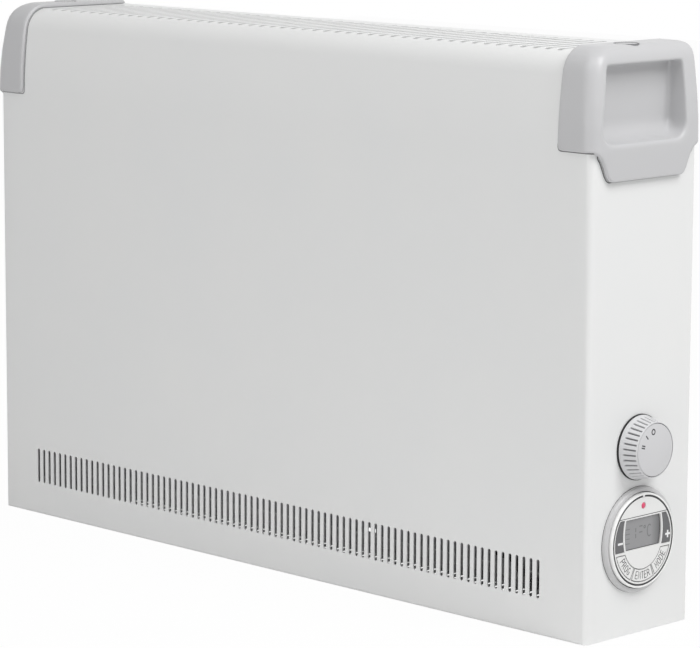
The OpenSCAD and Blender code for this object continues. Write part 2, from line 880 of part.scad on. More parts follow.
cutout_x = 150;
cutout_z = 262;
cutout_ear_t = 1;
cutout_r = 8;
cutout_h = 8;
cutout_tab_w = 6;
cutout_tab_h = 7;

// Disc-shaped overheat cut-out on the heat shield
module thermal_cutout() {
    color([0.2, 0.18, 0.16]) hung()
        translate([cutout_x, shield_y + inner_sheet_t, cutout_z])
            rotate([-90, 0, 0]) {
                linear_extrude(cutout_ear_t) rounded_rect(34, 10, 4);
                cylinder(h = cutout_h, r = cutout_r);
                for (s = [-1, 1])
                    translate([s * cutout_r / 2, 0, cutout_h + cutout_tab_h / 2 - 0.5])
                        cube([0.8, cutout_tab_w, cutout_tab_h], center = true);
            }
}

grommet_y = mid_y + 8;
grommet_z = 165;
grommet_bore_r = 4.5;
grommet_neck_r = 7;
grommet_flange_r = 8.5;
grommet_half = 3;

// Upright wall between the heating chamber and the controls, with flanges to panel and tray
module control_partition() {
    t = inner_sheet_t;
    y0 = tray_front + sheet_t + part_gap;
    low = tray_z + sheet_t;
    color(bare_steel) hung()
        difference() {
            union() {
                translate([partition_x, y0, low]) cube([t, panel_y - y0, partition_high_z - low]);
                translate([partition_x, panel_y - t, low + inner_flange])
                    cube([inner_flange, t, partition_high_z - low - inner_flange]);
                translate([partition_x, y0, low]) cube([inner_flange, panel_y - inner_flange - y0, t]);
            }
            translate([partition_x, grommet_y, grommet_z])
                rotate([0, 90, 0]) cylinder(h = 8 * t, r = grommet_neck_r + seat, center = true);
        }
}

// Rubber ring with a groove for the partition's edge
module partition_grommet() {
    neck = inner_sheet_t / 2 + seat;
    color(dark_plastic) hung()
        translate([partition_x + inner_sheet_t / 2, grommet_y, grommet_z])
            rotate([0, 90, 0])
                rotate_extrude()
                    polygon([[grommet_bore_r, -grommet_half], [grommet_flange_r, -grommet_half],
                             [grommet_flange_r, -neck], [grommet_neck_r, -neck],
                             [grommet_neck_r, neck], [grommet_flange_r, neck],
                             [grommet_flange_r, grommet_half], [grommet_bore_r, grommet_half]]);
}

block_x = entry_x - 78;
block_z = 50;
block_w = 44;
block_d = 18;
block_h = 16;
block_pitch = 14;
block_entry = 10;
block_screw_r = 2.4;

module terminal_block() {
    color([0.88, 0.87, 0.83]) hung()
        difference() {
            translate([block_x - block_w / 2, panel_y - block_d, block_z])
                cube([block_w, block_d, block_h]);
            for (i = [-1:1])
                translate([block_x + i * block_pitch, panel_y - block_entry, block_z + block_h / 2])
                    cube([block_pitch - 5, block_entry - 4, block_h + 2], center = true);
            for (i = [-1:1])
                translate([block_x + i * block_pitch, panel_y - block_d, block_z + block_h / 2])
                    rotate([90, 0, 0]) cylinder(h = block_entry, r = block_screw_r, center = true);
        }
}

// How much fatter a wire is at its knees
wire_knee = 1.06;

// A round wire through a list of points
module wire(points, r) {
    for (i = [0:len(points) - 2]) {
        a = points[i];
        run = points[i + 1] - a;
        length = norm(run);
        translate(a)
            rotate([0, acos(run[2] / length), atan2(run[1], run[0])])
                cylinder(h = length, r = r);
        if (i > 0) translate(a) sphere(wire_knee * r);
    }
}

// Sheathed supply lead from the entry grommet up along the back panel
supply_r = 2.8;
supply_y = panel_y - supply_r - 1;
supply_low = part_gap;
supply_turn = tray_z + sheet_t + entry_rise + supply_r + part_gap;
supply_route = [
    [entry_x, entry_y, supply_low], [entry_x, entry_y, supply_turn],
    [entry_x - 19, supply_y, supply_turn + 4], [entry_x - 27, supply_y, supply_turn + 12],
    [entry_x - 43, supply_y, supply_turn + 15], [block_x, panel_y - block_entry, block_z - 14],
    [block_x, panel_y - block_entry, block_z - part_gap]
];

module supply_wires() {
    color(dark_plastic) hung() wire(supply_route, supply_r);
}

wire_r = 1.2;
wire_z = shield_low - 8;
wire_y = panel_y - block_entry;
lead_x = pin_half + part_gap;
splice_r = 2.2;
splice_l = 12;

// Single leads from the control compartment to the elements
module element_wires() {
    color([0.75, 0.74, 0.7]) hung()
        for (side = [-1, 1])
            wire([[lead_x, element_y, side < 0 ? element_low_z : element_high_z],
                  [lead_x + 9, element_y, side < 0 ? element_low_z : element_high_z],
                  [partition_x - 5, grommet_y, grommet_z + 2 * side],
                  [partition_x + 8, grommet_y, grommet_z + 2 * side]], wire_r);
}

// Lead that joins the elements' left ends and runs back to the terminal block
module return_wires() {
    turn_x = -lead_x - 6;
    splice_z = element_low_z + element_gap / 2;
    top = block_z + block_h + part_gap;
    color([0.2, 0.25, 0.5]) hung() {
        wire([[-lead_x, element_y, element_high_z], [turn_x, element_y, element_high_z],
              [turn_x, element_y, element_low_z], [-lead_x, element_y, element_low_z]], wire_r);
        translate([turn_x, element_y, splice_z]) cylinder(h = splice_l, r = splice_r, center = true);
        wire([[turn_x, element_y, splice_z], [turn_x, wire_y, wire_z],
              [block_x - block_pitch, wire_y, wire_z], [block_x - block_pitch, wire_y, top]], wire_r);
    }
}

// Flat rubber grommet that the mains lead enters through
module cable_grommet() {
    low = part_gap;
    high = tray_z + sheet_t;
    color(dark_plastic) hung()
        translate([entry_x, entry_y, 0])
            rotate_extrude()
                polygon([[entry_bore_r, low], [entry_flange_r, low], [entry_flange_r, tray_z],
                         [entry_hole_r, tray_z], [entry_hole_r, high], [entry_flange_r, high],
                         [entry_flange_r - 0.8, high + entry_rise], [entry_bore_r, high + entry_rise]]);
}

// Earth screw with its two nuts on the back panel
stud_l = 14;
stud_r = 2;
stud_nut_r = 4.2;
stud_nut_t = 3;

module earth_stud() {
    color([0.8, 0.66, 0.3]) hung()
        translate([block_x + block_w, panel_y, block_z + block_h / 2])
            rotate([90, 0, 0]) {
                cylinder(h = stud_l, r = stud_r);
                cylinder(h = stud_nut_t, r = stud_nut_r, $fn = 6);
                translate([0, 0, stud_nut_t + 2]) cylinder(h = stud_nut_t, r = stud_nut_r, $fn = 6);
            }
}

bush_proud = 2.6;
shaft_root = 9.7;
switch_nut_r = 7.4;
switch_nut_t = 2;

// Rotary switch behind the end panel, with its threaded bush through the panel
module switch_body() {
    color([0.2, 0.2, 0.22]) hung() on_end(knob_z)
        difference() {
            union() {
                translate([0, 0, -sheet_t - switch_depth / 2])
                    cube([switch_w, switch_w, switch_depth], center = true);
                translate([0, 0, -sheet_t]) cylinder(h = sheet_t + bush_proud, r = bush_r);
            }
            translate([0, 0, -sheet_t - shaft_root - part_gap])
                cylinder(h = switch_depth + 2, r = shaft_d / 2 + run_gap);
        }
}

module switch_nut() {
    color(bare_steel) hung() on_end(knob_z)
        difference() {
            cylinder(h = switch_nut_t, r = switch_nut_r, $fn = 6);
            translate([0, 0, -1]) cylinder(h = switch_nut_t + 2, r = bush_r + run_gap);
        }
}

shaft_high = knob_h - knob_lid - part_gap;

module switch_shaft() {
    color(bare_steel) hung() on_end(knob_z)
        difference() {
            translate([0, 0, -sheet_t - shaft_root])
                cylinder(h = shaft_high + sheet_t + shaft_root, d = shaft_d);
            translate([-shaft_d / 2, shaft_d / 2 - 1, bush_proud + 2.4]) cube([shaft_d, 2, shaft_high]);
        }
}

module knob_collar() {
    color(dark_plastic) hung() on_end(knob_z)
        difference() {
            cylinder(h = collar_t, r = knob_r + collar_rim);
            translate([0, 0, -1]) cylinder(h = collar_t + 2, r = switch_nut_r + 1.6);
        }
}

groove_low = 4.6;
groove_high = knob_h - 1.6;
groove_w = 1.1;
groove_d = 0.7;
function knob_side(z) = knob_r + (knob_top_r - knob_r) * (z - knob_low) / (knob_h - knob_low);

// Hollow tapered knob with grip grooves, a hub for the shaft and a seat for its face disc
module knob() {
    hub_r = shaft_d / 2 + 3;
    groove_l = groove_high - groove_low;
    taper = atan((knob_r - knob_top_r) / (knob_h - knob_low));
    color([0.86, 0.86, 0.87]) hung() on_end(knob_z)
        difference() {
            rotate_extrude()
                difference() {
                    polygon([[0, knob_low], [knob_r, knob_low], [knob_side(3.6), 3.6],
                             [knob_top_r, knob_h - 0.3], [knob_top_r - 0.3, knob_h], [0, knob_h]]);
                    polygon([[hub_r, knob_low - 1], [knob_r - knob_wall, knob_low - 1],
                             [knob_top_r - knob_wall, knob_h - knob_lid], [hub_r, knob_h - knob_lid]]);
                    translate([-1, knob_low - 1]) square([hub_r + 1.1, bush_proud + 0.6]);
                    translate([0, -1]) square([shaft_d / 2 + run_gap, knob_h - knob_lid + 1]);
                    translate([-1, knob_h - disc_t]) square([disc_r + seat + 1, 2]);
                }
            for (i = [0:knob_grooves - 1])
                rotate([0, 0, i * 360 / knob_grooves])
                    translate([knob_side(groove_low), 0, groove_low])
                        rotate([0, -taper, 0])
                            translate([-groove_d, -groove_w / 2, 0]) cube([3, groove_w, groove_l]);
        }
}

module knob_face() {
    color([0.82, 0.82, 0.83]) hung() on_end(knob_z)
        translate([0, 0, knob_h - disc_t]) cylinder(h = disc_t, r = disc_r);
}

// Grey outer ring of the timer, sloping down to the case
module timer_bezel() {
    slope = bezel_r - rim_r_out;
    color([0.78, 0.78, 0.79]) hung() on_end(timer_z)
        rotate_extrude()
            polygon(concat([[rim_r_out + seat, flange_low], [bezel_r, flange_low]],
                           [for (a = [0:15:90]) [rim_r_out + seat + (slope - seat) * cos(a),
                                                 1 + (face_h - 3.2) * sin(a)]]));
}

// White inner ring of the timer, which frames its face
module timer_rim() {
    w = rim_r_out - rim_r_in;
    color([0.92, 0.92, 0.92]) hung() on_end(timer_z)
        rotate_extrude()
            polygon(concat([[rim_r_in, flange_low], [rim_r_out, flange_low]],
                           [for (a = [0:15:90]) [rim_r_in + w * (0.3 + 0.7 * cos(a)),
                                                 face_h - 1.6 + 2 * sin(a)]],
                           [[rim_r_in, face_h + 0.2]]));
}

// Cup behind the end panel, with the flange that carries the face plate
module timer_housing() {
    wall_in = housing_r - housing_wall;
    color(dark_plastic) hung() on_end(timer_z)
        rotate_extrude()
            polygon([[0, -housing_depth - sheet_t], [housing_r, -housing_depth - sheet_t],
                     [housing_r, flange_low], [rim_r_in - seat, flange_low],
                     [rim_r_in - seat, face_low], [key_room_r, face_low],
                     [key_room_r, key_stem_low - part_gap], [wall_in, key_stem_low - part_gap],
                     [wall_in, board_top - board_t], [wall_in - 2, board_top - board_t],
                     [wall_in - 2, -housing_depth + 1], [0, -housing_depth + 1]]);
}

module timer_lock_ring() {
    color(dark_plastic) hung() on_end(timer_z)
        translate([0, 0, -sheet_t - 3])
            difference() {
                cylinder(h = 3, r = housing_r + 5.5);
                translate([0, 0, -1]) cylinder(h = 5, r = housing_r + run_gap);
            }
}

// Where each key's stem and its push button stand, in the face's X and Y
key_spots = [[-25.6, 8], [25.6, 8], [-19.6, -17.2], [0, -26], [19.6, -17.2]];

module timer_board() {
    color([0.1, 0.35, 0.2]) hung() on_end(timer_z) {
        translate([0, 0, board_top - board_t]) cylinder(h = board_t, r = housing_r - housing_wall - part_gap);
        for (p = key_spots)
            translate([p[0], p[1], board_top]) cylinder(h = button_top - board_top, r = 1.4);
        // the frame that carries the display
        translate([0, (display_low + display_high) / 2, (board_top + key_low) / 2])
            cube([2 * display_half - 8, display_high - display_low, key_low - board_top], center = true);
    }
}

// The display's window: straight top and bottom, sides bulging outwards
module display_shape(grow) {
    mid_v = (display_low + display_high) / 2;
    side = display_side_r + grow;
    shift = display_half + display_bulge - display_side_r;
    intersection() {
        translate([0, mid_v])
            square([3 * display_half, display_high - display_low + 2 * grow], center = true);
        translate([shift, mid_v]) circle(side);
        translate([-shift, mid_v]) circle(side);
    }
}

module timer_display() {
    color([0.6, 0.61, 0.62]) hung() on_end(timer_z)
        translate([0, 0, key_low]) linear_extrude(face_low - key_low) display_shape(0.4);
}

module timer_lamp() {
    color([0.85, 0.15, 0.3]) hung() on_end(timer_z)
        translate([0, lamp_v, board_top]) cylinder(h = face_h - board_top, r = lamp_r);
}

// Half of the plane below a line through the middle, turned by a and moved out by shift
module half_plane(a, shift) {
    rotate([0, 0, a]) translate([-far / 2, shift - far]) square([far, far]);
}

// A key of the lower ring between two angles from straight down, grown by g
module ring_key_shape(g) {
    difference() {
        circle(key_r_out + g);
        circle(key_r_in - g);
    }
}

module middle_key_shape(g) {
    intersection() {
        ring_key_shape(g);
        half_plane(middle_key_angle + 90 - 180, g);
        half_plane(-middle_key_angle - 90 + 180, g);
        half_plane(0, 0);
    }
}

module side_key_shape(side, g) {
    intersection() {
        ring_key_shape(g);
        half_plane(0, side_key_top + g);
        mirror([side > 0 ? 0 : 1, 0, 0]) half_plane(side_key_angle + 90, g);
    }
}

module sign_key_shape(side, g) {
    mid_v = (display_low + display_high) / 2;
    grown = [far, display_high - display_low + 2 * g];
    shift = sign_key_side + display_bulge - display_side_r;
    intersection() {
        circle(sign_key_r + g);
        translate([0, mid_v]) square(grown, center = true);
        translate([side * far / 2, 0]) square(far, center = true);
        difference() {
            square(far, center = true);
            translate([side * shift, mid_v]) circle(display_side_r - g);
        }
    }
}

module key_solid(spot) {
    color(spot < 2 ? [0.4, 0.4, 0.42] : [0.9, 0.9, 0.9]) hung() on_end(timer_z) {
        translate([0, 0, key_low]) linear_extrude(face_h - key_low) children();
        translate([key_spots[spot][0], key_spots[spot][1], key_stem_low])
            cylinder(h = key_low - key_stem_low + 0.5, r = 1.2);
    }
}

module minus_key() {
    key_solid(0) sign_key_shape(-1, 0);
}

module plus_key() {
    key_solid(1) sign_key_shape(1, 0);
}

module left_key() {
    key_solid(2) side_key_shape(-1, 0);
}

module middle_key() {
    key_solid(3) middle_key_shape(0);
}

module right_key() {
    key_solid(4) side_key_shape(1, 0);
}

module timer_face() {
    color([0.91, 0.91, 0.91]) hung() on_end(timer_z)
        translate([0, 0, face_low])
            linear_extrude(face_t)
                difference() {
                    circle(face_r);
                    display_shape(0);
                    translate([0, lamp_v]) circle(lamp_r + seat);
                    sign_key_shape(-1, key_gap);
                    sign_key_shape(1, key_gap);
                    side_key_shape(-1, key_gap);
                    side_key_shape(1, key_gap);
                    middle_key_shape(key_gap);
                }
}

case_wrapper();
left_end_panel();
right_end_panel();
base_tray();
back_panel();
back_screws();
base_screws();
wall_bracket();
left_end_cap();
right_end_cap();
cap_screws();
cap_plugs();
heat_shield();
left_element_bracket();
right_element_bracket();
lower_element();
upper_element();
heating_rods();
rod_insulators();
element_screws();
thermal_cutout();
control_partition();
partition_grommet();
terminal_block();
supply_wires();
element_wires();
return_wires();
cable_grommet();
earth_stud();
switch_body();
switch_nut();
switch_shaft();
knob_collar();
knob();
knob_face();
timer_bezel();
timer_rim();
timer_housing();
timer_lock_ring();
timer_board();
timer_display();
timer_lamp();
timer_face();
minus_key();
plus_key();
left_key();
middle_key();
right_key();
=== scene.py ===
"""Slim wall convector heater: slotted white case, grey carrying ends, heat switch and round timer.

Lengths in this file are millimetres in the heater's frame, and one function turns them to metres.
The origin is the middle of the bracket's wall screws; +X runs to the controls, +Y into the wall, +Z up.
"""
import json
import logging
import math
from collections.abc import Callable
from dataclasses import dataclass
from enum import Enum

import bmesh
import bpy
import numpy as np
from mathutils import Matrix, Vector
from mathutils.bvhtree import BVHTree

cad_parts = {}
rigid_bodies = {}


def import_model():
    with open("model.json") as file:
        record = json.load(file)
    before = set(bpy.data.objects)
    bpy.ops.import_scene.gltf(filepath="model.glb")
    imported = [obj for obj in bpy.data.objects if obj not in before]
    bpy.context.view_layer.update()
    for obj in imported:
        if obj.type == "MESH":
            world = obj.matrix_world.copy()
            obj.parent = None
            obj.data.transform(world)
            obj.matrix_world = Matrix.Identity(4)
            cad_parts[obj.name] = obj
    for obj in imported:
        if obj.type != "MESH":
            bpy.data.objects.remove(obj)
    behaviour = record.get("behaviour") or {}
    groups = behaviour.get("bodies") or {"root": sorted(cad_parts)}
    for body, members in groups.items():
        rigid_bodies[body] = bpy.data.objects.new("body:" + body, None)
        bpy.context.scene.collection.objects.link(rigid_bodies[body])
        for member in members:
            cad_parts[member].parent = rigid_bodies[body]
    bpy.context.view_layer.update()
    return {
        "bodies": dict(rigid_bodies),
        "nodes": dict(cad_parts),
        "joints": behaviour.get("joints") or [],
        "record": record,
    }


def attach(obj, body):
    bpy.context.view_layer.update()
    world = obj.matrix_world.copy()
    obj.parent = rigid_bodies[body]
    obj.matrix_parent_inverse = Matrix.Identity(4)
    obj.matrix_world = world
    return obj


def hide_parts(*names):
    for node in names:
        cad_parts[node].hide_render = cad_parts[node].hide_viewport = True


log = logging.getLogger("heater")

MM = 0.001

# Blotches of a finish are about 70 mm across
BLOTCHES_PER_METRE = 14.0
# Depth of fine relief, as a share of its grain
RELIEF_DEPTH = 0.2
# Rolling draws the grain out along X: there its pattern is this much slower
ROLLED_ALONG = 0.04


def metres(points: np.ndarray) -> np.ndarray:
    """Turns millimetres to metres."""
    return np.asarray(points, float) * MM


def linear(hex_colour: str) -> tuple[float, float, float, float]:
    """Turns an sRGB hex colour to linear light.

    Args:
        hex_colour: Six hex digits.

    Returns:
        Red, green, blue and an alpha of one.
    """
    srgb = [int(hex_colour[i : i + 2], 16) / 255 for i in (0, 2, 4)]
    r, g, b = (c / 12.92 if c <= 0.04045 else ((c + 0.055) / 1.055) ** 2.4 for c in srgb)
    return r, g, b, 1.0


def add_node(tree: bpy.types.NodeTree, kind: str, settings: dict | None = None,
             inputs: dict | None = None) -> bpy.types.Node:
    """Adds one shader node with its settings, its values and its links.

    Args:
        tree: The node tree that takes the node.
        kind: Blender's name of the node type.
        settings: Attributes of the node itself.
        inputs: Values or output sockets, by the input's name or number.

    Returns:
        The new node.
    """
    node = tree.nodes.new(kind)
    for name, value in (settings or {}).items():
        setattr(node, name, value)
    for name, value in (inputs or {}).items():
        if isinstance(value, bpy.types.NodeSocket):
            tree.links.new(value, node.inputs[name])
        else:
            node.inputs[name].default_value = value
    return node


class Grain(Enum):
    """How a surface was made, which sets the shape of its fine relief."""

    SPRAYED = "sprayed"
    MOULDED = "moulded"
    ROLLED = "rolled"
    PLAIN = "plain"


@dataclass(frozen=True)
class Finish:
    """A surface: what it is made of, its colour and its fine relief.

    A second colour blotches the first over a few centimetres, as dust and uneven gloss do. A surface
    may also fade to a third colour between two places along Y, as painted shade, or take one in its
    grooves as painted shade: there the points' own value "recess" is one.
    """

    name: str
    colour: str
    blotch: str
    roughness: float
    metallic: float = 0.0
    ior: float = 1.5
    grain: Grain = Grain.MOULDED
    grain_mm: float = 0.6
    relief: float = 0.1
    coat: float = 0.0
    glow: float = 0.0
    fade: str = ""
    fade_y: tuple[float, float] = (0.0, 1.0)
    recess: str = ""
    rough_spread: tuple[float, float] = (-0.03, 0.04)

    def material(self) -> bpy.types.Material:
        """Builds the node material, or finds it if it is there already.

        Returns:
            The material.
        """
        found = bpy.data.materials.get(self.name)
        if found:
            return found
        made = bpy.data.materials.new(self.name)
        made.use_nodes = True
        tree = made.node_tree
        shader = tree.nodes["Principled BSDF"]
        place = add_node(tree, "ShaderNodeTexCoord").outputs["Object"]
        cloud = add_node(
            tree, "ShaderNodeTexNoise", inputs={"Vector": place, "Scale": BLOTCHES_PER_METRE, "Detail": 3.0}
        ).outputs["Fac"]
        layers = [(cloud, self.blotch)]
        # Painted shade: the colour darkens between two places along Y
        if self.fade:
            along = add_node(tree, "ShaderNodeSeparateXYZ", inputs={"Vector": place})
            ends = {"From Min": self.fade_y[0] * MM, "From Max": self.fade_y[1] * MM}
            share = add_node(tree, "ShaderNodeMapRange", inputs={"Value": along.outputs["Y"], **ends})
            layers.append((share.outputs["Result"], self.fade))
        # Painted shade: a darker colour where the points' value "recess" is high, in grooves
        if self.recess:
            depth = add_node(tree, "ShaderNodeAttribute", {"attribute_name": "recess"})
            layers.append((depth.outputs["Fac"], self.recess))
        tint = linear(self.colour)
        for factor, colour in layers:
            mix = add_node(
                tree, "ShaderNodeMix", {"data_type": "RGBA"},
                {"Factor": factor, "A": tint, "B": linear(colour)},
            )
            tint = mix.outputs["Result"]
        tree.links.new(tint, shader.inputs["Base Color"])
        least, most = (self.roughness + step for step in self.rough_spread)
        sheen = add_node(tree, "ShaderNodeMapRange", inputs={"Value": cloud, "To Min": least, "To Max": most})
        tree.links.new(sheen.outputs["Result"], shader.inputs["Roughness"])
        shader.inputs["Metallic"].default_value = self.metallic
        shader.inputs["IOR"].default_value = self.ior
        shader.inputs["Coat Weight"].default_value = self.coat
        if self.glow:
            shader.inputs["Emission Color"].default_value = linear(self.colour)
            shader.inputs["Emission Strength"].default_value = self.glow
        if self.grain is not Grain.PLAIN:
            self._relief(tree, shader, place)
        return made

    def _relief(self, tree: bpy.types.NodeTree, shader: bpy.types.Node, place: bpy.types.NodeSocket) -> None:
        """Adds the fine relief as bump.

        Args:
            tree: The material's node tree.
            shader: The shader that takes the bumped normal.
            place: Object coordinates, in metres.
        """
        if self.grain is Grain.ROLLED:
            scale = (ROLLED_ALONG, 1.0, 1.0)
            place = add_node(
                tree, "ShaderNodeMapping", inputs={"Vector": place, "Scale": scale}
            ).outputs["Vector"]
        grit = add_node(
            tree, "ShaderNodeTexNoise",
            inputs={"Vector": place, "Scale": 1.0 / (self.grain_mm * MM), "Detail": 2.0, "Roughness": 0.5},
        )
        deep = RELIEF_DEPTH * self.grain_mm * MM
        bump = add_node(
            tree, "ShaderNodeBump",
            inputs={"Height": grit.outputs["Fac"], "Strength": self.relief, "Distance": deep},
        )
        tree.links.new(bump.outputs["Normal"], shader.inputs["Normal"])


# Steel sheet with a polyester powder coat, sprayed and baked: satin, with a faint orange peel
POWDER_COAT = Finish("powder_coated_steel", "F1F1F0", "EDEEEE", 0.32, grain=Grain.SPRAYED, grain_mm=2.2,
                     relief=0.10)
# ABS, injection moulded with a fine spark-eroded texture: matt, with soft highlights on its edges
CASE_ABS = Finish("textured_grey_abs", "CBCBCC", "C6C6C8", 0.36, grain_mm=0.45, relief=0.16)
# The same ABS from a polished tool, on the timer's bezel: smoother, with brighter highlights
BEZEL_ABS = Finish("polished_grey_abs", "CECECE", "C8C8C9", 0.32, grain_mm=0.8, relief=0.04)
# ABS moulded with a fine texture, on the knob: satin, with painted shade darkening its grooves
KNOB_ABS = Finish("satin_grey_abs", "DADADB", "D5D5D7", 0.40, grain_mm=0.4, relief=0.10, recess="7C7C7E")
# ABS moulded flat to take a print, on the knob's disc: duller than the grip, without highlights
KNOB_DISC = Finish("printed_grey_disc", "D7D7D8", "D3D3D5", 0.48, grain_mm=0.4, relief=0.08)
# White ABS from a smooth tool, on the timer's face: an even satin
WHITE_ABS = Finish("satin_white_abs", "F2F2F1", "EDEDEC", 0.34, grain_mm=0.5, relief=0.05)
# White ABS from a mirror-polished tool, on the timer's rim: a bright line of gloss round it, and painted
# light in a colour a little lighter than the face's white
RIM_ABS = Finish("glossy_white_abs", "FCFCFB", "FAFAF9", 0.18, grain_mm=0.5, relief=0.03, coat=0.6)
# Dark grey ABS, moulded, on the two side keys: dull, so that their white signs stand out
KEY_GREY = Finish("printed_grey_key", "6C6C6E", "666668", 0.45, grain_mm=0.4, relief=0.06)
# Black ABS, moulded with a coarse texture: it takes up light and shows little but its edges
BLACK_ABS = Finish("textured_black_abs", "2A2A2C", "242426", 0.48, grain_mm=0.4, relief=0.15)
# Shade in a narrow joint between two mouldings, drawn as a dull band: dark where the joint is deep
DARK_LINE = Finish("dark_shadow_gap", "38383A", "343436", 0.6, grain_mm=0.5, relief=0.05)
GAP_GREY = Finish("grey_shadow_gap", "5A5A5C", "545456", 0.6, grain_mm=0.5, relief=0.05)
GAP_LIGHT = Finish("light_shadow_gap", "8C8C8E", "868688", 0.6, grain_mm=0.5, relief=0.05)
# Pad-printed ink: a flat, dull film, drawn thicker than it is so that it shows
SIGN_WHITE = Finish("white_print", "FAFAFA", "F4F4F4", 0.5, grain_mm=0.3, relief=0.03)
LINE_GREY = Finish("grey_print", "525254", "4E4E50", 0.5, grain_mm=0.3, relief=0.03)
SIGN_DARK = Finish("dark_grey_print", "404042", "3C3C3E", 0.5, grain_mm=0.3, relief=0.03)
# Reflective liquid crystal behind a clear window: grey and glossy, with painted shade darkening it towards
# the wall
DISPLAY = Finish("liquid_crystal_window", "989899", "8E8E90", 0.14, grain=Grain.PLAIN, coat=0.6,
                 fade="4C4C4E", fade_y=(-55.0, -42.0))
# Liquid crystal segments that are switched off: faint grey shapes under the same gloss
DISPLAY_INK = Finish("liquid_crystal_segments", "78787A", "747476", 0.25, grain=Grain.PLAIN, coat=0.4)
# Red acrylic, moulded as a lens: glossy, with a slight painted glow for the light that gathers in it
LAMP_RED = Finish("red_lamp_lens", "D83A60", "DE5078", 0.22, grain_mm=0.6, relief=0.1, coat=0.5, glow=0.08)
# Zinc-plated steel, rolled: pale grey with fine lines along X. It is lighter and less metallic than
# the real plating: painted light, so that what lies behind the slots isn't too dark
ZINC = Finish("zinc_plated_sheet", "D2D3D5", "C8CACC", 0.5, metallic=0.35, grain=Grain.ROLLED,
              grain_mm=0.5, relief=0.2)
# Zinc-plated steel, headed and rolled as a screw: small bright glints
SCREW_ZINC = Finish("zinc_plated_screw", "B2B4B8", "A5A7AC", 0.30, metallic=1.0, grain_mm=0.5, relief=0.15)
# Aluminium, extruded: silvery, with drawn lines along X
ALUMINIUM = Finish("extruded_aluminium", "C9CBCD", "BEC0C3", 0.34, metallic=1.0, grain=Grain.ROLLED,
                   grain_mm=0.6, relief=0.25)
# Steel sheath, oxidised by heat: brown-grey, with a weak metal sheen
ROD_STEEL = Finish("oxidised_sheath", "5A5653", "4B4644", 0.5, metallic=0.8, grain_mm=0.6, relief=0.2)
# Steatite, fired with a glaze: cream and glossy
CERAMIC = Finish("glazed_steatite", "E6E0D0", "DDD6C4", 0.25, grain_mm=1.0, relief=0.06)
# Rubber, moulded: black and matt
RUBBER = Finish("black_rubber", "1C1C1D", "232324", 0.62, grain_mm=0.7, relief=0.15)
# Glass fibre, woven as a sleeve over a lead: rough and dull
SLEEVE = Finish("woven_lead_sleeve", "8E8B84", "A19D94", 0.8, grain_mm=0.5, relief=0.4)
# Brass, turned and left bare: yellow, with a clear metal sheen
BRASS = Finish("bare_brass", "C9A24B", "B98F3A", 0.3, metallic=1.0, grain_mm=0.5, relief=0.1)
# Glass-fibre board with a green solder lacquer: even and glossy
BOARD = Finish("lacquered_board", "1C5A38", "174C2F", 0.25, grain_mm=0.8, relief=0.05, coat=0.4)

SLOT_FINISH = {
    "white_steel": POWDER_COAT,
    "zinc_steel": ZINC,
    "screw_steel": SCREW_ZINC,
    "grey_moulding": CASE_ABS,
    "element_aluminium": ALUMINIUM,
    "rod_steel": ROD_STEEL,
    "ceramic": CERAMIC,
    "black_moulding": BLACK_ABS,
    "black_rubber": RUBBER,
    "lead_sleeve": SLEEVE,
    "brass_stud": BRASS,
    "knob_grey": KNOB_ABS,
    "bezel_grey": BEZEL_ABS,
    "timer_white": WHITE_ABS,
    "key_grey": KEY_GREY,
    "display_grey": DISPLAY,
    "lamp_red": LAMP_RED,
    "board_green": BOARD,
}


@dataclass
class PhotoCamera:
    """The photograph's camera, as fitted to the case's edges."""

    position: tuple[float, float, float] = (1877.6, -1906.9, 414.6)
    yaw: float = 45.06
    pitch: float = 9.22
    roll: float = 0.249
    focal_px: float = 3321.0
    picture_px: float = 700.0

    def build(self) -> None:
        """Makes the camera and makes it the scene's."""
        yaw, pitch, roll = (math.radians(a) for a in (self.yaw, self.pitch, self.roll))
        level = math.cos(pitch)
        forward = Vector((-math.sin(yaw) * level, math.cos(yaw) * level, -math.sin(pitch)))
        right = Vector((math.cos(yaw), math.sin(yaw), 0.0))
        up = right.cross(forward)
        side = math.cos(roll) * right + math.sin(roll) * up
        top = -math.sin(roll) * right + math.cos(roll) * up
        data = bpy.data.cameras.new("photo_camera")
        data.sensor_fit = "HORIZONTAL"
        data.sensor_width = 36.0
        data.lens = data.sensor_width * self.focal_px / self.picture_px
        data.clip_start = 0.05
        data.clip_end = 50.0
        camera = bpy.data.objects.new("photo_camera", data)
        turn = Matrix((side, top, -forward)).transposed().to_4x4()
        camera.matrix_world = Matrix.Translation(Vector(self.position) * MM) @ turn
        bpy.context.scene.collection.objects.link(camera)
        bpy.context.scene.camera = camera


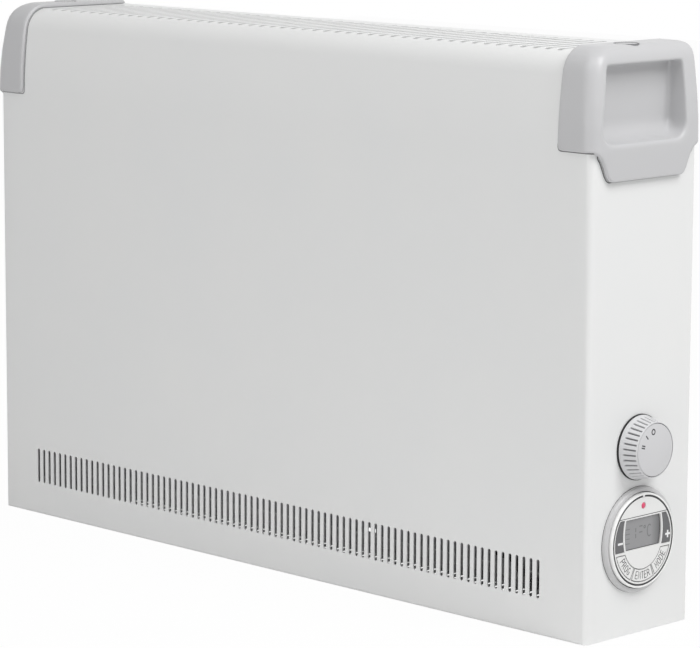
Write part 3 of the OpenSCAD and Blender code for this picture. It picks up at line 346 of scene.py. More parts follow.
@dataclass
class Studio:
    """Plain pale floor, white surroundings and soft lamps."""

    floor_z: float = -205.4
    floor_size: float = 9000.0
    ambient: float = 0.33
    floor_white: float = 0.97
    paper_rough: float = 0.9

    def build(self) -> None:
        """Builds the world, the floor and the lamps."""
        self._world()
        self._floor()
        # A large lamp high beyond the controls' end, one above the front, and a wide one far in front
        self._lamp("end_lamp", (1620, 150, 1680), (333, -60, 60), (900, 1300), 28.0)
        self._lamp("top_lamp", (600, -1150, 1950), (200, -100, 100), (1300, 1300), 8.0)
        self._lamp("front_lamp", (200, -2300, 160), (100, -60, -200), (1800, 600), 8.2)

    def _world(self) -> None:
        """Lights the object evenly, and shows white to the camera and to reflections."""
        world = bpy.data.worlds.new("studio_white")
        bpy.context.scene.world = world
        world.use_nodes = True
        tree = world.node_tree
        ray = add_node(tree, "ShaderNodeLightPath")
        seen = add_node(
            tree, "ShaderNodeMath", {"operation": "MAXIMUM"},
            {0: ray.outputs["Is Camera Ray"], 1: ray.outputs["Is Transmission Ray"]},
        )
        seen = add_node(
            tree, "ShaderNodeMath", {"operation": "MAXIMUM"},
            {0: seen.outputs["Value"], 1: ray.outputs["Is Glossy Ray"]},
        )
        strength = add_node(
            tree, "ShaderNodeMapRange",
            inputs={"Value": seen.outputs["Value"], "To Min": self.ambient, "To Max": 1.0},
        )
        back = tree.nodes["Background"]
        back.inputs["Color"].default_value = linear("FFFFFF")
        tree.links.new(strength.outputs["Result"], back.inputs["Strength"])

    def _floor(self) -> None:
        """Lays the floor, which the camera sees as white with the heater's shadow on it."""
        half = self.floor_size / 2
        data = bpy.data.meshes.new("floor")
        corners = [(-half, -half), (half, -half), (half, half), (-half, half)]
        data.from_pydata([(x * MM, y * MM, self.floor_z * MM) for x, y in corners], [], [(0, 1, 2, 3)])
        floor = bpy.data.objects.new("floor", data)
        bpy.context.scene.collection.objects.link(floor)
        made = bpy.data.materials.new("white_paper_floor")
        made.use_nodes = True
        tree = made.node_tree
        paper = tree.nodes["Principled BSDF"]
        paper.inputs["Base Color"].default_value = linear("F1F1F1")
        paper.inputs["Roughness"].default_value = self.paper_rough
        ray = add_node(tree, "ShaderNodeLightPath")
        white = add_node(tree, "ShaderNodeEmission", inputs={"Color": linear("FFFFFF"), "Strength": 1.0})
        share = add_node(
            tree, "ShaderNodeMath", {"operation": "MULTIPLY"},
            {0: ray.outputs["Is Camera Ray"], 1: self.floor_white},
        )
        mix = add_node(
            tree, "ShaderNodeMixShader",
            inputs={0: share.outputs["Value"], 1: paper.outputs["BSDF"], 2: white.outputs["Emission"]},
        )
        tree.links.new(mix.outputs["Shader"], tree.nodes["Material Output"].inputs["Surface"])
        data.materials.append(made)

    def _lamp(self, name: str, place: tuple, target: tuple, size: tuple, power: float) -> None:
        """Hangs one soft lamp.

        Args:
            name: The lamp's name.
            place: Where it hangs.
            target: Where it points.
            size: Its width and height.
            power: Its power in watts.
        """
        data = bpy.data.lights.new(name, "AREA")
        data.shape = "RECTANGLE"
        data.size, data.size_y = size[0] * MM, size[1] * MM
        data.energy = power
        lamp = bpy.data.objects.new(name, data)
        aim = (Vector(target) - Vector(place)).to_track_quat("-Z", "Y").to_matrix().to_4x4()
        lamp.matrix_world = Matrix.Translation(Vector(place) * MM) @ aim
        bpy.context.scene.collection.objects.link(lamp)


@dataclass(frozen=True)
class Place:
    """A spot with its own axes: right, up and out, which is their cross product."""

    origin: tuple[float, float, float]
    right: tuple[float, float, float] = (0.0, 1.0, 0.0)
    up: tuple[float, float, float] = (0.0, 0.0, 1.0)

    def axes(self) -> np.ndarray:
        """Gives the three axes as rows."""
        return np.array([self.right, self.up, np.cross(self.right, self.up)], float)

    def points(self, local: np.ndarray) -> np.ndarray:
        """Turns local points (..., 3) to points of the heater's frame."""
        return np.asarray(local, float) @ self.axes() + self.origin

    def local(self, points: np.ndarray) -> np.ndarray:
        """Turns points of the heater's frame back to local ones."""
        return (np.asarray(points, float) - self.origin) @ self.axes().T


# On the right end face, right leads to the wall
KNOB_PLACE = Place((333.0, -65.5, -64.6))
TIMER_PLACE = Place((333.0, -65.5, -133.8))


def finish_piece(obj: bpy.types.Object, finish: Finish, body: str, slot: str,
                 *nodes: str) -> bpy.types.Object:
    """Gives a new piece its material, its body and the nodes that it stands for.

    Args:
        obj: The piece.
        finish: Its surface.
        body: The body that it rides on.
        slot: The record's material slot; not used.
        nodes: The CAD nodes that it replaces.

    Returns:
        The piece.
    """
    obj.data.materials.clear()
    obj.data.materials.append(finish.material())
    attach(obj, body)
    if nodes:
        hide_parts(*nodes)
    log.info("%s rides on %s", obj.name, body)
    return obj


def grid_piece(name: str, grid: np.ndarray, wrap: bool, cap_start: bool = False,
               cap_end: bool = False, recess: np.ndarray | None = None) -> bpy.types.Object:
    """Makes a mesh from a grid of points, row by row.

    Args:
        name: The piece's name.
        grid: Points (rows, columns, 3) in millimetres.
        wrap: Whether the last column joins the first.
        cap_start: Whether the first row is closed by a fan.
        cap_end: Whether the last row is closed by a fan.
        recess: How deep in a groove each point is, 0 to 1 (rows, columns), where the finish paints shade.

    Returns:
        The object, in the scene.
    """
    rows, cols = grid.shape[:2]
    index = np.arange(rows * cols).reshape(rows, cols)
    side = np.concatenate([index, index[:, :1]], 1) if wrap else index
    quads = np.stack([side[:-1, :-1], side[:-1, 1:], side[1:, 1:], side[1:, :-1]], -1).reshape(-1, 4)
    points = [grid.reshape(-1, 3)]
    faces = quads.tolist()
    count = rows * cols
    for wanted, row, turn in ((cap_start, 0, 1), (cap_end, rows - 1, -1)):
        if wanted:
            points.append(grid[row].mean(0)[None])
            ring = index[row]
            after = np.roll(ring, -1)
            fan = np.stack([after, ring, np.full(cols, count)], -1)[:, ::turn]
            faces += fan.tolist()
            count += 1
    data = bpy.data.meshes.new(name)
    data.from_pydata(metres(np.concatenate(points)).tolist(), [], faces)
    if recess is not None:
        layer = data.attributes.new("recess", "FLOAT", "POINT")
        layer.data.foreach_set("value", np.append(recess, np.zeros(count - rows * cols)))
    obj = bpy.data.objects.new(name, data)
    bpy.context.scene.collection.objects.link(obj)
    face_out(obj)
    return obj


def face_out(obj: bpy.types.Object, merge: float = 1e-6) -> None:
    """Merges doubled points and turns all faces outwards.

    Args:
        obj: The piece.
        merge: Distance in metres below which points are one.
    """
    work = bmesh.new()
    work.from_mesh(obj.data)
    bmesh.ops.remove_doubles(work, verts=work.verts, dist=merge)
    bmesh.ops.recalc_face_normals(work, faces=work.faces)
    work.to_mesh(obj.data)
    work.free()


def joined(pieces: list[bpy.types.Object], name: str) -> bpy.types.Object:
    """Joins pieces into one.

    Args:
        pieces: The pieces, which are used up.
        name: Name of the joined piece.

    Returns:
        The joined piece.
    """
    work = bmesh.new()
    for piece in pieces:
        work.from_mesh(piece.data)
    work.to_mesh(pieces[0].data)
    work.free()
    for piece in pieces[1:]:
        bpy.data.objects.remove(piece)
    pieces[0].name = name
    pieces[0].data.name = name
    return pieces[0]


def smooth_to(obj: bpy.types.Object, degrees: float) -> None:
    """Shades a mesh smoothly, with sharp edges where it turns by more than an angle."""
    obj.data.polygons.foreach_set("use_smooth", [True] * len(obj.data.polygons))
    obj.data.set_sharp_from_angle(angle=math.radians(degrees))


def turned(profile: list[tuple[float, float]], place: Place, name: str, closed: bool = True,
           steps: int = 160) -> bpy.types.Object:
    """Turns a profile of (radius, height) about a control's axis.

    The surface is (r sin a, r cos a, h) for each profile point (r, h) and angle a.

    Args:
        profile: Points (radius, height).
        place: Where the axis stands.
        name: The piece's name.
        closed: Whether the last point joins the first; else a fan closes each end.
        steps: Columns round the axis.

    Returns:
        The object.
    """
    line = np.array(profile + profile[:1] if closed else profile, float)
    angle = np.linspace(0, 2 * np.pi, steps, endpoint=False)
    r, h = line[:, :1], line[:, 1:]
    local = np.stack([r * np.sin(angle), r * np.cos(angle), h + 0 * angle], -1)
    return grid_piece(name, place.points(local), True, not closed, not closed)


def strokes_piece(name: str, strokes: list[np.ndarray], width: float, base: float, place: Place,
                  thick: float = 0.05) -> bpy.types.Object:
    """Draws lines on a control as thin raised bands, in one mesh.

    Each band has a rectangular section that runs along its line: the corner points are
    p - n w/2 and p + n w/2 at the base and at the top, with n across the line at point p,
    lengthened at a corner so that the band keeps its width.

    Args:
        name: The piece's name.
        strokes: Lines of points (count, 2), closed where first and last agree.
        width: The bands' width.
        base: Height of the surface below the bands.
        place: The control's place.
        thick: The bands' thickness.

    Returns:
        The object.
    """
    points = []
    faces = []
    here = np.arange(4)
    after = np.roll(here, -1)
    for line in strokes:
        line = np.asarray(line, float)
        ring = np.allclose(line[0], line[-1])
        step = np.diff(line, axis=0)
        step = step / np.maximum(np.linalg.norm(step, axis=1, keepdims=True), 1e-9)
        first = np.concatenate([step[-1:] if ring else step[:1], step])
        second = np.concatenate([step, step[:1] if ring else step[-1:]])
        along = first + second
        along /= np.maximum(np.linalg.norm(along, axis=1, keepdims=True), 1e-9)
        mitre = 1 / np.maximum((along * first).sum(1, keepdims=True), 0.5)
        across = np.stack([-along[:, 1], along[:, 0]], -1) * mitre * width / 2
        low = np.full((len(line), 1), base)
        rows = np.stack([
            np.concatenate([line - across, low], 1),
            np.concatenate([line + across, low], 1),
            np.concatenate([line + across, low + thick], 1),
            np.concatenate([line - across, low + thick], 1),
        ], 1)
        start = sum(len(p) for p in points)
        points.append(rows.reshape(-1, 3))
        row = start + 4 * np.arange(len(line) - 1)[:, None]
        sides = np.stack([row + here, row + after, row + 4 + after, row + 4 + here], -1)
        faces += sides.reshape(-1, 4).tolist()
        if not ring:
            faces += [(start + here).tolist(), (start + 4 * (len(line) - 1) + here).tolist()]
    data = bpy.data.meshes.new(name)
    data.from_pydata(metres(place.points(np.concatenate(points))).tolist(), [], faces)
    obj = bpy.data.objects.new(name, data)
    bpy.context.scene.collection.objects.link(obj)
    face_out(obj)
    return obj


def arc(centre: tuple[float, float], r: tuple[float, float], start: float, end: float,
        steps: int = 14) -> np.ndarray:
    """Points of an elliptic arc, with angles in degrees anticlockwise from the right."""
    a = np.radians(np.linspace(start, end, steps))
    return np.stack([centre[0] + r[0] * np.cos(a), centre[1] + r[1] * np.sin(a)], -1)


# Single-line capitals in a box one wide and one high; P and R share the upper bowl and the stem
BOWL = [(0.0, 0.5), (0.55, 0.5), (0.85, 0.57), (1.0, 0.75), (0.85, 0.93), (0.55, 1.0), (0.0, 1.0), (0.0, 0.0)]
LETTERS = {
    "P": [BOWL],
    "R": [BOWL, [(0.55, 0.5), (1.0, 0.0)]],
    "O": [arc((0.5, 0.5), (0.5, 0.5), 90, 450, 21)],
    "G": [arc((0.5, 0.5), (0.5, 0.5), 50, 330, 17), [(0.93, 0.22), (0.93, 0.46), (0.55, 0.46)]],
    "E": [[(1.0, 1.0), (0.0, 1.0), (0.0, 0.0), (1.0, 0.0)], [(0.0, 0.5), (0.85, 0.5)]],
    "N": [[(0.0, 0.0), (0.0, 1.0), (1.0, 0.0), (1.0, 1.0)]],
    "T": [[(0.0, 1.0), (1.0, 1.0)], [(0.5, 1.0), (0.5, 0.0)]],
    "M": [[(0.0, 0.0), (0.0, 1.0), (0.5, 0.3), (1.0, 1.0), (1.0, 0.0)]],
    "D": [[(0.0, 0.0), (0.0, 1.0), (0.45, 1.0), (0.85, 0.85), (1.0, 0.5), (0.85, 0.15), (0.45, 0.0),
           (0.0, 0.0)]],
}


def ring_word(word: str, middle: float, radius: float, height: float, width: float,
              gap: float) -> list[np.ndarray]:
    """Sets a word along the lower ring, its feet outwards.

    A point at length s along the word and t above its foot line goes to the angle
    middle + s / radius from straight down, at the distance radius - t.

    Args:
        word: Capitals.
        middle: Angle of the word's middle from straight down, in degrees.
        radius: Radius of the foot line.
        height: Height of the letters.
        width: Width of a letter.
        gap: Space between letters.

    Returns:
        The word's strokes.
    """
    strokes = []
    length = len(word) * width + (len(word) - 1) * gap
    for i, letter in enumerate(word):
        left = i * (width + gap) - length / 2
        for line in LETTERS[letter]:
            line = np.asarray(line, float)
            angle = math.radians(middle) + (left + width * line[:, 0]) / radius
            away = radius - height * line[:, 1]
            strokes.append(np.stack([away * np.sin(angle), -away * np.cos(angle)], -1))
    return strokes


# The segments of a displayed digit that are used: top, middle, upper right and lower right, in such a box
SEGMENTS = {
    "a": [(0.1, 1.0), (0.9, 1.0)],
    "g": [(0.1, 0.5), (0.9, 0.5)],
    "b": [(1.0, 0.93), (1.0, 0.57)],
    "c": [(1.0, 0.43), (1.0, 0.07)],
}


class CadSkins:
    """Smooth, softened copies of CAD nodes whose outline is right."""

    def __init__(self, frame: dict) -> None:
        """Keeps the nodes, and notes each one's body and material slot.

        Args:
            frame: The loaded frame.
        """
        self.nodes = frame["nodes"]
        self.body = {n: b for b, names in frame["record"]["behaviour"]["bodies"].items() for n in names}
        self.slot = {s["node"]: s["material_slot"] for s in frame["record"]["subparts"]}

    def dress_all(self) -> None:
        """Gives every CAD node the finish of its slot."""
        for name, node in self.nodes.items():
            node.data.materials.clear()
            node.data.materials.append(SLOT_FINISH[self.slot[name]].material())

    def points(self, node: str) -> np.ndarray:
        """Gives a node's points.

        Args:
            node: The CAD node.

        Returns:
            Points (count, 3) in millimetres.
        """
        data = self.nodes[node].data
        points = np.empty(len(data.vertices) * 3)
        data.vertices.foreach_get("co", points)
        return points.reshape(-1, 3) / MM

    def separate_boxes(self, node: str) -> list[tuple[np.ndarray, np.ndarray]]:
        """Finds the box of each separate solid in a node.

        Points that an edge joins take the lower of their two numbers, until none changes.

        Args:
            node: The CAD node.

        Returns:
            The lowest and highest corner of each solid.
        """
        spots, same = np.unique(np.round(self.points(node), 3), axis=0, return_inverse=True)
        data = self.nodes[node].data
        ends = np.empty(len(data.edges) * 2, int)
        data.edges.foreach_get("vertices", ends)
        ends = same.reshape(-1)[ends.reshape(-1, 2)]
        label = np.arange(len(spots))
        before = None
        while before is None or (label != before).any():
            before = label.copy()
            np.minimum.at(label, ends[:, 0], before[ends[:, 1]])
            np.minimum.at(label, ends[:, 1], before[ends[:, 0]])
            label = label[label]
        return [(spots[label == k].min(0), spots[label == k].max(0)) for k in np.unique(label)]

    def dropped(self, start: np.ndarray, toward: np.ndarray, nodes: tuple[str, ...]) -> np.ndarray:
        """Drops points along their directions onto CAD nodes.

        Args:
            start: Start points (count, 3).
            toward: Directions (count, 3).
            nodes: The nodes that they fall on.

        Returns:
            The points where they land.
        """
        corners = []
        for node in nodes:
            data = self.nodes[node].data
            data.calc_loop_triangles()
            index = np.empty(len(data.loop_triangles) * 3, int)
            data.loop_triangles.foreach_get("vertices", index)
            corners.append(self.points(node)[index])
        corners = np.concatenate(corners)
        tree = BVHTree.FromPolygons(corners.tolist(), np.arange(len(corners)).reshape(-1, 3).tolist())
        return np.array([tree.ray_cast(Vector(p), Vector(d))[0] for p, d in zip(start, toward)])

    def outline(self, node: str, place: Place, height: float, grow: float) -> np.ndarray:
        """Finds the edge of a control's flat top, moved outwards.

        An edge of the top's triangles that no second triangle shares, turned the other way, is on the
        outline. Each point moves along the bisector of its two edges, by grow over the cosine of half
        the turn.

        Args:
            node: The CAD node.
            place: The control's place.
            height: Height of the flat top above the end face.
            grow: How far the outline moves outwards.

        Returns:
            Points (count, 2), the first repeated at the end.
        """
        data = self.nodes[node].data
        local = place.local(self.points(node))
        spots, same = np.unique(np.round(local[:, :2], 3), axis=0, return_inverse=True)
        same = same.reshape(-1)
        on_top = np.abs(local[:, 2] - height) < 0.01
        data.calc_loop_triangles()
        corners = np.empty(len(data.loop_triangles) * 3, int)
        data.loop_triangles.foreach_get("vertices", corners)
        corners = corners.reshape(-1, 3)
        flat = same[corners[on_top[corners].all(1)]]
        edges = np.concatenate([flat[:, [0, 1]], flat[:, [1, 2]], flat[:, [2, 0]]])
        known = {(a, b) for a, b in edges.tolist()}
        after = {a: b for a, b in known if (b, a) not in known}
        chain = [min(after)]
        while after[chain[-1]] != chain[0]:
            chain.append(after[chain[-1]])
        line = spots[chain]
        step = np.roll(line, -1, 0) - line
        step /= np.linalg.norm(step, axis=1, keepdims=True)
        before = np.roll(step, 1, 0)
        along = step + before
        along /= np.linalg.norm(along, axis=1, keepdims=True)
        half_turn = np.maximum((along * step).sum(1, keepdims=True), 0.4)
        line = line + grow * np.stack([along[:, 1], -along[:, 0]], -1) / half_turn
        return np.concatenate([line, line[:1]])

    def moulded(self, node: str, name: str, finish: Finish, grain: float, passes: int,
                ease: Callable[[np.ndarray], np.ndarray]) -> bpy.types.Object:
        """Makes a copy of a node with the soft edges of a moulding.

        The node is meshed anew with even small faces. Then each point moves towards the mean of its
        neighbours, by its own share, and again in every pass, which rounds the edges.

        Args:
            node: The CAD node.
            name: The copy's name.
            finish: Its surface.
            grain: Size of the faces.
            passes: How often the points are moved.
            ease: Gives each point (count, 3) its share, from zero where it stays to a half.

        Returns:
            The copy, which replaces the node.
        """
        obj = bpy.data.objects.new(name, self.nodes[node].data.copy())
        bpy.context.scene.collection.objects.link(obj)
        face_out(obj, 2e-6)
        even = obj.modifiers.new("even_faces", "REMESH")
        even.mode = "VOXEL"
        even.voxel_size = grain * MM
        data = bpy.data.meshes.new_from_object(obj.evaluated_get(bpy.context.evaluated_depsgraph_get()))
        obj.modifiers.clear()
        obj.data = data
        data.name = name
        points = np.empty(len(data.vertices) * 3)
        data.vertices.foreach_get("co", points)
        points = points.reshape(-1, 3)
        ends = np.empty(len(data.edges) * 2, int)
        data.edges.foreach_get("vertices", ends)
        here = np.concatenate([ends[::2], ends[1::2]])
        there = np.concatenate([ends[1::2], ends[::2]])
        share = ease(points / MM)[:, None]
        number = np.bincount(here, minlength=len(points))[:, None]
        for _ in range(passes):
            total = np.stack([np.bincount(here, points[there, i], len(points)) for i in range(3)], -1)
            points = points + share * (total / number - points)
        data.vertices.foreach_set("co", points.ravel())
        data.update()
        smooth_to(obj, 60)
        return finish_piece(obj, finish, self.body[node], self.slot[node], node)

    def skin(self, node: str, name: str, finish: Finish, soften: float = 0.0,
             crease: float = 32.0) -> bpy.types.Object:
        """Makes a merged copy of a node, shades it smoothly and rounds its sharp edges.

        Args:
            node: The CAD node.
            name: The copy's name.
            finish: Its surface.
            soften: Width of the rounding along sharp edges, none if zero.
            crease: Angle above which an edge counts as sharp.

        Returns:
            The copy, which replaces the node.
        """
        data = self.nodes[node].data.copy()
        data.name = name
        obj = bpy.data.objects.new(name, data)
        bpy.context.scene.collection.objects.link(obj)
        work = bmesh.new()
        work.from_mesh(data)
        bmesh.ops.remove_doubles(work, verts=work.verts, dist=2e-6)
        bmesh.ops.dissolve_limit(
            work, angle_limit=math.radians(0.4), verts=work.verts, edges=work.edges, delimit={"NORMAL"}
        )
        work.to_mesh(data)
        work.free()
        smooth_to(obj, crease)
        if soften:
            bevel = obj.modifiers.new("softened_edges", "BEVEL")
            bevel.width = soften * MM
            bevel.segments = 3
            bevel.limit_method = "ANGLE"
            bevel.angle_limit = math.radians(crease)
            bevel.harden_normals = True
            bevel.use_clamp_overlap = True
        return finish_piece(obj, finish, self.body[node], self.slot[node], node)


@dataclass
class HeatKnob:
    """The heat switch's knob: tapered and grooved, with a flat disc that carries the marks."""

    radius: float = 24.2
    top_radius: float = 20.6
    low: float = 1.3
    height: float = 16.0
    grooves: int = 34
    groove_low: float = 4.8
    groove_high: float = 14.7
    groove_half: float = 0.64
    groove_depth: float = 1.35
    disc_radius: float = 19.6
    disc_gap: float = 0.5
    disc_thick: float = 1.0
    mark_radius: float = 14.0
    mark_width: float = 0.95
    mark_angles: tuple[float, ...] = (-10.0, -42.0, -74.0)

    def build(self) -> None:
        """Builds the grip, the disc and its marks."""
        self._grip()
        top = self.height
        disc = [(1.0, top), (self.disc_radius - 0.4, top), (self.disc_radius - 0.12, top - 0.1),
                (self.disc_radius, top - 0.35), (self.disc_radius, top - self.disc_thick),
                (1.0, top - self.disc_thick)]
        piece = turned(disc, KNOB_PLACE, "knob_disc", closed=False)
        smooth_to(piece, 35)
        finish_piece(piece, KNOB_DISC, "knob", "knob_grey", "knob_face")
        # A dark ring in the gap round the disc: painted shade
        seat = top - self.disc_thick + 0.1
        inner = self.disc_radius - 0.1
        outer = self.disc_radius + self.disc_gap
        ring = [(inner, seat - 0.3), (outer, seat - 0.3), (outer, seat), (inner, seat)]
        gap = turned(ring, KNOB_PLACE, "disc_gap")
        smooth_to(gap, 30)
        finish_piece(gap, DARK_LINE, "knob", "knob_grey")
        marks = strokes_piece("knob_marks", self._marks(), self.mark_width, top, KNOB_PLACE)
        finish_piece(marks, SIGN_DARK, "knob", "knob_grey")

    def _grip(self) -> None:
        """Sweeps the knob's profile round its axis and presses the grooves into it.

        Across a groove its depth goes as (1 - (angle / half width)^2)^0.6. Each groove has nine columns,
        and the land beside it three.
        """
        top = self.height
        rim = self.disc_radius + self.disc_gap
        seat = top - self.disc_thick - 0.1
        side = [self.low + 0.3, 3.0, self.groove_low - 0.5, self.groove_low, self.groove_low + 0.4,
                self.groove_low + 0.9, 8.0, 10.0, 12.0, self.groove_high - 0.9, self.groove_high - 0.4,
                self.groove_high, self.groove_high + 0.4, top - 0.4]
        line = [(1.0, self.low + 6), (self.radius - 2.6, self.low + 6), (self.radius - 2.2, self.low),
                (self.radius - 0.3, self.low)]
        line += [(self._side(h), h) for h in side]
        line += [(self.top_radius - 0.05, top - 0.15), (self.top_radius - 0.2, top), (rim, top),
                 (rim, seat), (1.0, seat)]
        line = np.array(line)
        step = self.groove_half / self.top_radius
        pitch = 2 * np.pi / self.grooves
        within = np.concatenate([np.linspace(-1.3, 1.3, 9) * step, np.array([0.25, 0.5, 0.75]) * pitch])
        angle = (pitch * np.arange(self.grooves)[:, None] + np.sort(within)).ravel()
        r, h = line[:, :1], line[:, 1:]
        turn = (angle / pitch + 0.5) % 1 - 0.5
        across = np.clip(1 - (turn * pitch / step) ** 2, 0, 1) ** 0.6
        fade_in = np.clip((h - self.groove_low + 0.3) / 0.8, 0, 1)
        fade_out = np.clip((self.groove_high + 0.3 - h) / 0.8, 0, 1)
        sunk = across * fade_in * fade_out * (r > self.top_radius - 0.6)
        r = r - self.groove_depth * sunk
        local = np.stack([r * np.sin(angle), r * np.cos(angle), h + 0 * angle], -1)
        # The grooves' depth also sets where the finish paints shade
        piece = grid_piece("knob_grip", KNOB_PLACE.points(local), True, True, True, sunk)
        smooth_to(piece, 40)
        finish_piece(piece, KNOB_ABS, "knob", "knob_grey", "knob")

    def _side(self, h: float) -> float:
        """Radius of the tapered side at height h."""
        return self.radius + (self.top_radius - self.radius) * (h - self.low) / (self.height - self.low)

    def _marks(self) -> list[np.ndarray]:
        """Draws a ring, one bar and two bars for off, half and full heat.

        Returns:
            The marks' strokes.
        """
        shapes = [[arc((0, 0), (1.75, 1.9), 90, 450, 25)], [[(0, -1.9), (0, 1.9)]],
                  [[(-0.85, -1.9), (-0.85, 1.9)], [(0.85, -1.9), (0.85, 1.9)]]]
        strokes = []
        for degrees, lines in zip(self.mark_angles, shapes):
            a = math.radians(degrees)
            out = np.array([math.sin(a), math.cos(a)])
            side = np.array([math.cos(a), -math.sin(a)])
            for line in lines:
                line = np.asarray(line, float)
                strokes.append(self.mark_radius * out + line[:, :1] * side + line[:, 1:] * out)
        return strokes


@dataclass
class TimerDial:
    """The round timer: bezel, bright rim, shadow grooves, face, display, lamp and five keys.

    Places on its face are (u, v) from its middle, with u towards the wall and v up.
    """

    bezel_r: float = 39.7
    rim_out: float = 35.7
    rim_in: float = 34.0
    face_r: float = 32.9
    face_h: float = 6.0
    ring_gap: float = 0.6
    index_r: float = 33.45
    index_half: float = 1.8
    divider_v: float = 18.9
    lamp_v: float = 26.2
    window_h: float = 4.6
    window_inset: float = 0.65
    digit_size: tuple[float, float] = (4.6, 9.0)
    digit_v: float = 1.8
    scale_v: tuple[float, ...] = (-0.6, 3.0, 6.6, 10.2)
    key_gap: float = 0.35
    key_line: float = 0.38
    sign_width: float = 1.6
    word_r: float = 28.9
    word_angle: float = 49.0
    letter_size: tuple[float, float] = (2.7, 5.4)
    letter_line: float = 0.55

    def build(self, skins: CadSkins) -> None:
        """Builds every visible piece of the timer.

        Args:
            skins: The CAD nodes.
        """
        self._rings()
        self._face(skins)
        self._display(skins)
        self._keys(skins)

    def _printed(self, name: str, strokes: list[np.ndarray], width: float, base: float, thick: float,
                 finish: Finish, slot: str, body: str = "heater") -> None:
        """Draws lines on the timer.

        Args:
            name: The piece's name.
            strokes: The lines, each (count, 2).
            width: Width of the lines.
            base: Height of the surface below them.
            thick: Their thickness.
            finish: Their surface.
            slot: The record's material slot.
            body: The body that they ride on.
        """
        finish_piece(strokes_piece(name, strokes, width, base, TIMER_PLACE, thick), finish, body, slot)

    def _rings(self) -> None:
        """Turns the bezel, the rim, painted shade in the grooves beside it and the index in the groove."""
        start = self.rim_out + self.ring_gap
        slope = self.bezel_r - start
        edge = [(start, 0.2), (self.bezel_r, 0.2), (self.bezel_r, 0.9)]
        edge += [(start + slope * math.cos(a) ** 0.9, 1.0 + 2.85 * math.sin(a) ** 0.9)
                 for a in np.radians(np.arange(6, 90, 6))]
        edge += [(start + 0.15, 3.88), (start, 3.75)]
        bezel = turned(edge, TIMER_PLACE, "timer_bezel_ring")
        smooth_to(bezel, 40)
        finish_piece(bezel, BEZEL_ABS, "heater", "bezel_grey", "timer_bezel")
        w = self.rim_out - self.rim_in
        rim = [(self.rim_in, 0.2), (self.rim_out, 0.2)]
        rim += [(self.rim_in + w * (0.6 + 0.4 * math.cos(a)), self.face_h - 1.0 + 1.35 * math.sin(a))
                for a in np.radians(np.arange(0, 91, 7.5))]
        rim += [(self.rim_in + 0.15, self.face_h + 0.3), (self.rim_in, self.face_h + 0.1)]
        ring = turned(rim, TIMER_PLACE, "timer_bright_rim")
        smooth_to(ring, 40)
        finish_piece(ring, RIM_ABS, "heater", "timer_white", "timer_rim")
        for name, inner, outer, high in (("bezel_groove", self.rim_out, self.rim_out + self.ring_gap, 3.2),
                                         ("face_groove", self.face_r - 0.3, self.rim_in, self.face_h + 0.04),
                                         ("bezel_seat", self.rim_out, self.bezel_r + 0.15, 0.25)):
            deep = high - min(0.6, high - 0.03)
            band = turned([(inner, deep), (outer, deep), (outer, high), (inner, high)], TIMER_PLACE, name)
            smooth_to(band, 30)
            finish_piece(band, DARK_LINE, "heater", "black_moulding")
        index = arc((0, 0), (self.index_r, self.index_r), 90 - self.index_half, 90 + self.index_half, 5)
        self._printed("face_index", [index], 1.4, 5.9, 0.25, WHITE_ABS, "timer_white")

    def _face(self, skins: CadSkins) -> None:
        """Dresses the face plate, draws the line above the display and turns the lamp's lens.

        Args:
            skins: The CAD nodes.
        """
        skins.skin("timer_face", "timer_face_plate", WHITE_ABS, 0.12)
        reach = math.sqrt((self.face_r - 0.2) ** 2 - self.divider_v ** 2)
        line = [np.array([(-reach, self.divider_v), (reach, self.divider_v)])]
        self._printed("face_divider", line, 0.55, self.face_h, 0.03, LINE_GREY, "timer_white")
        dome = [(0.25, 6.45), (0.8, 6.4), (1.4, 6.25), (1.9, 5.95), (2.2, 5.5), (2.3, 5.0), (2.3, 2.0),
                (0.25, 2.0)]
        lamp_place = Place(tuple(TIMER_PLACE.points((0.0, self.lamp_v, 0.0))))
        lamp = turned(dome, lamp_place, "timer_lamp_lens", closed=False, steps=40)
        smooth_to(lamp, 40)
        finish_piece(lamp, LAMP_RED, "heater", "lamp_red", "timer_lamp")

    def _display(self, skins: CadSkins) -> None:
        """Dresses the display's window and draws its edge in painted shade, its faint segments and its scale
        marks.

        Args:
            skins: The CAD nodes.
        """
        skins.skin("timer_display", "timer_window", DISPLAY)
        strokes = []
        for left, lit in ((-11.5, "bc"), (-3.4, "ag")):
            for key in lit:
                strokes.append(np.array(SEGMENTS[key]) * self.digit_size + (left, self.digit_v))
        strokes.append(arc((3.2, 9.6), (0.9, 0.9), 90, 450, 13))
        strokes.append(arc((8.6, 6.2), (2.4, 4.4), 50, 310, 13))
        edge = [skins.outline("timer_display", TIMER_PLACE, self.window_h, -self.window_inset)]
        marks = [np.array([(-18.4, v), (-13.6, v)]) for v in self.scale_v]
        for name, lines, width, thick, finish in (("window_edge_shade", edge, 0.5, 0.03, DARK_LINE),
                                                  ("window_digits", strokes, 0.9, 0.02, DISPLAY_INK),
                                                  ("window_marks", marks, 0.6, 0.02, DISPLAY_INK)):
            self._printed(name, lines, width, self.window_h, thick, finish, "display_grey")

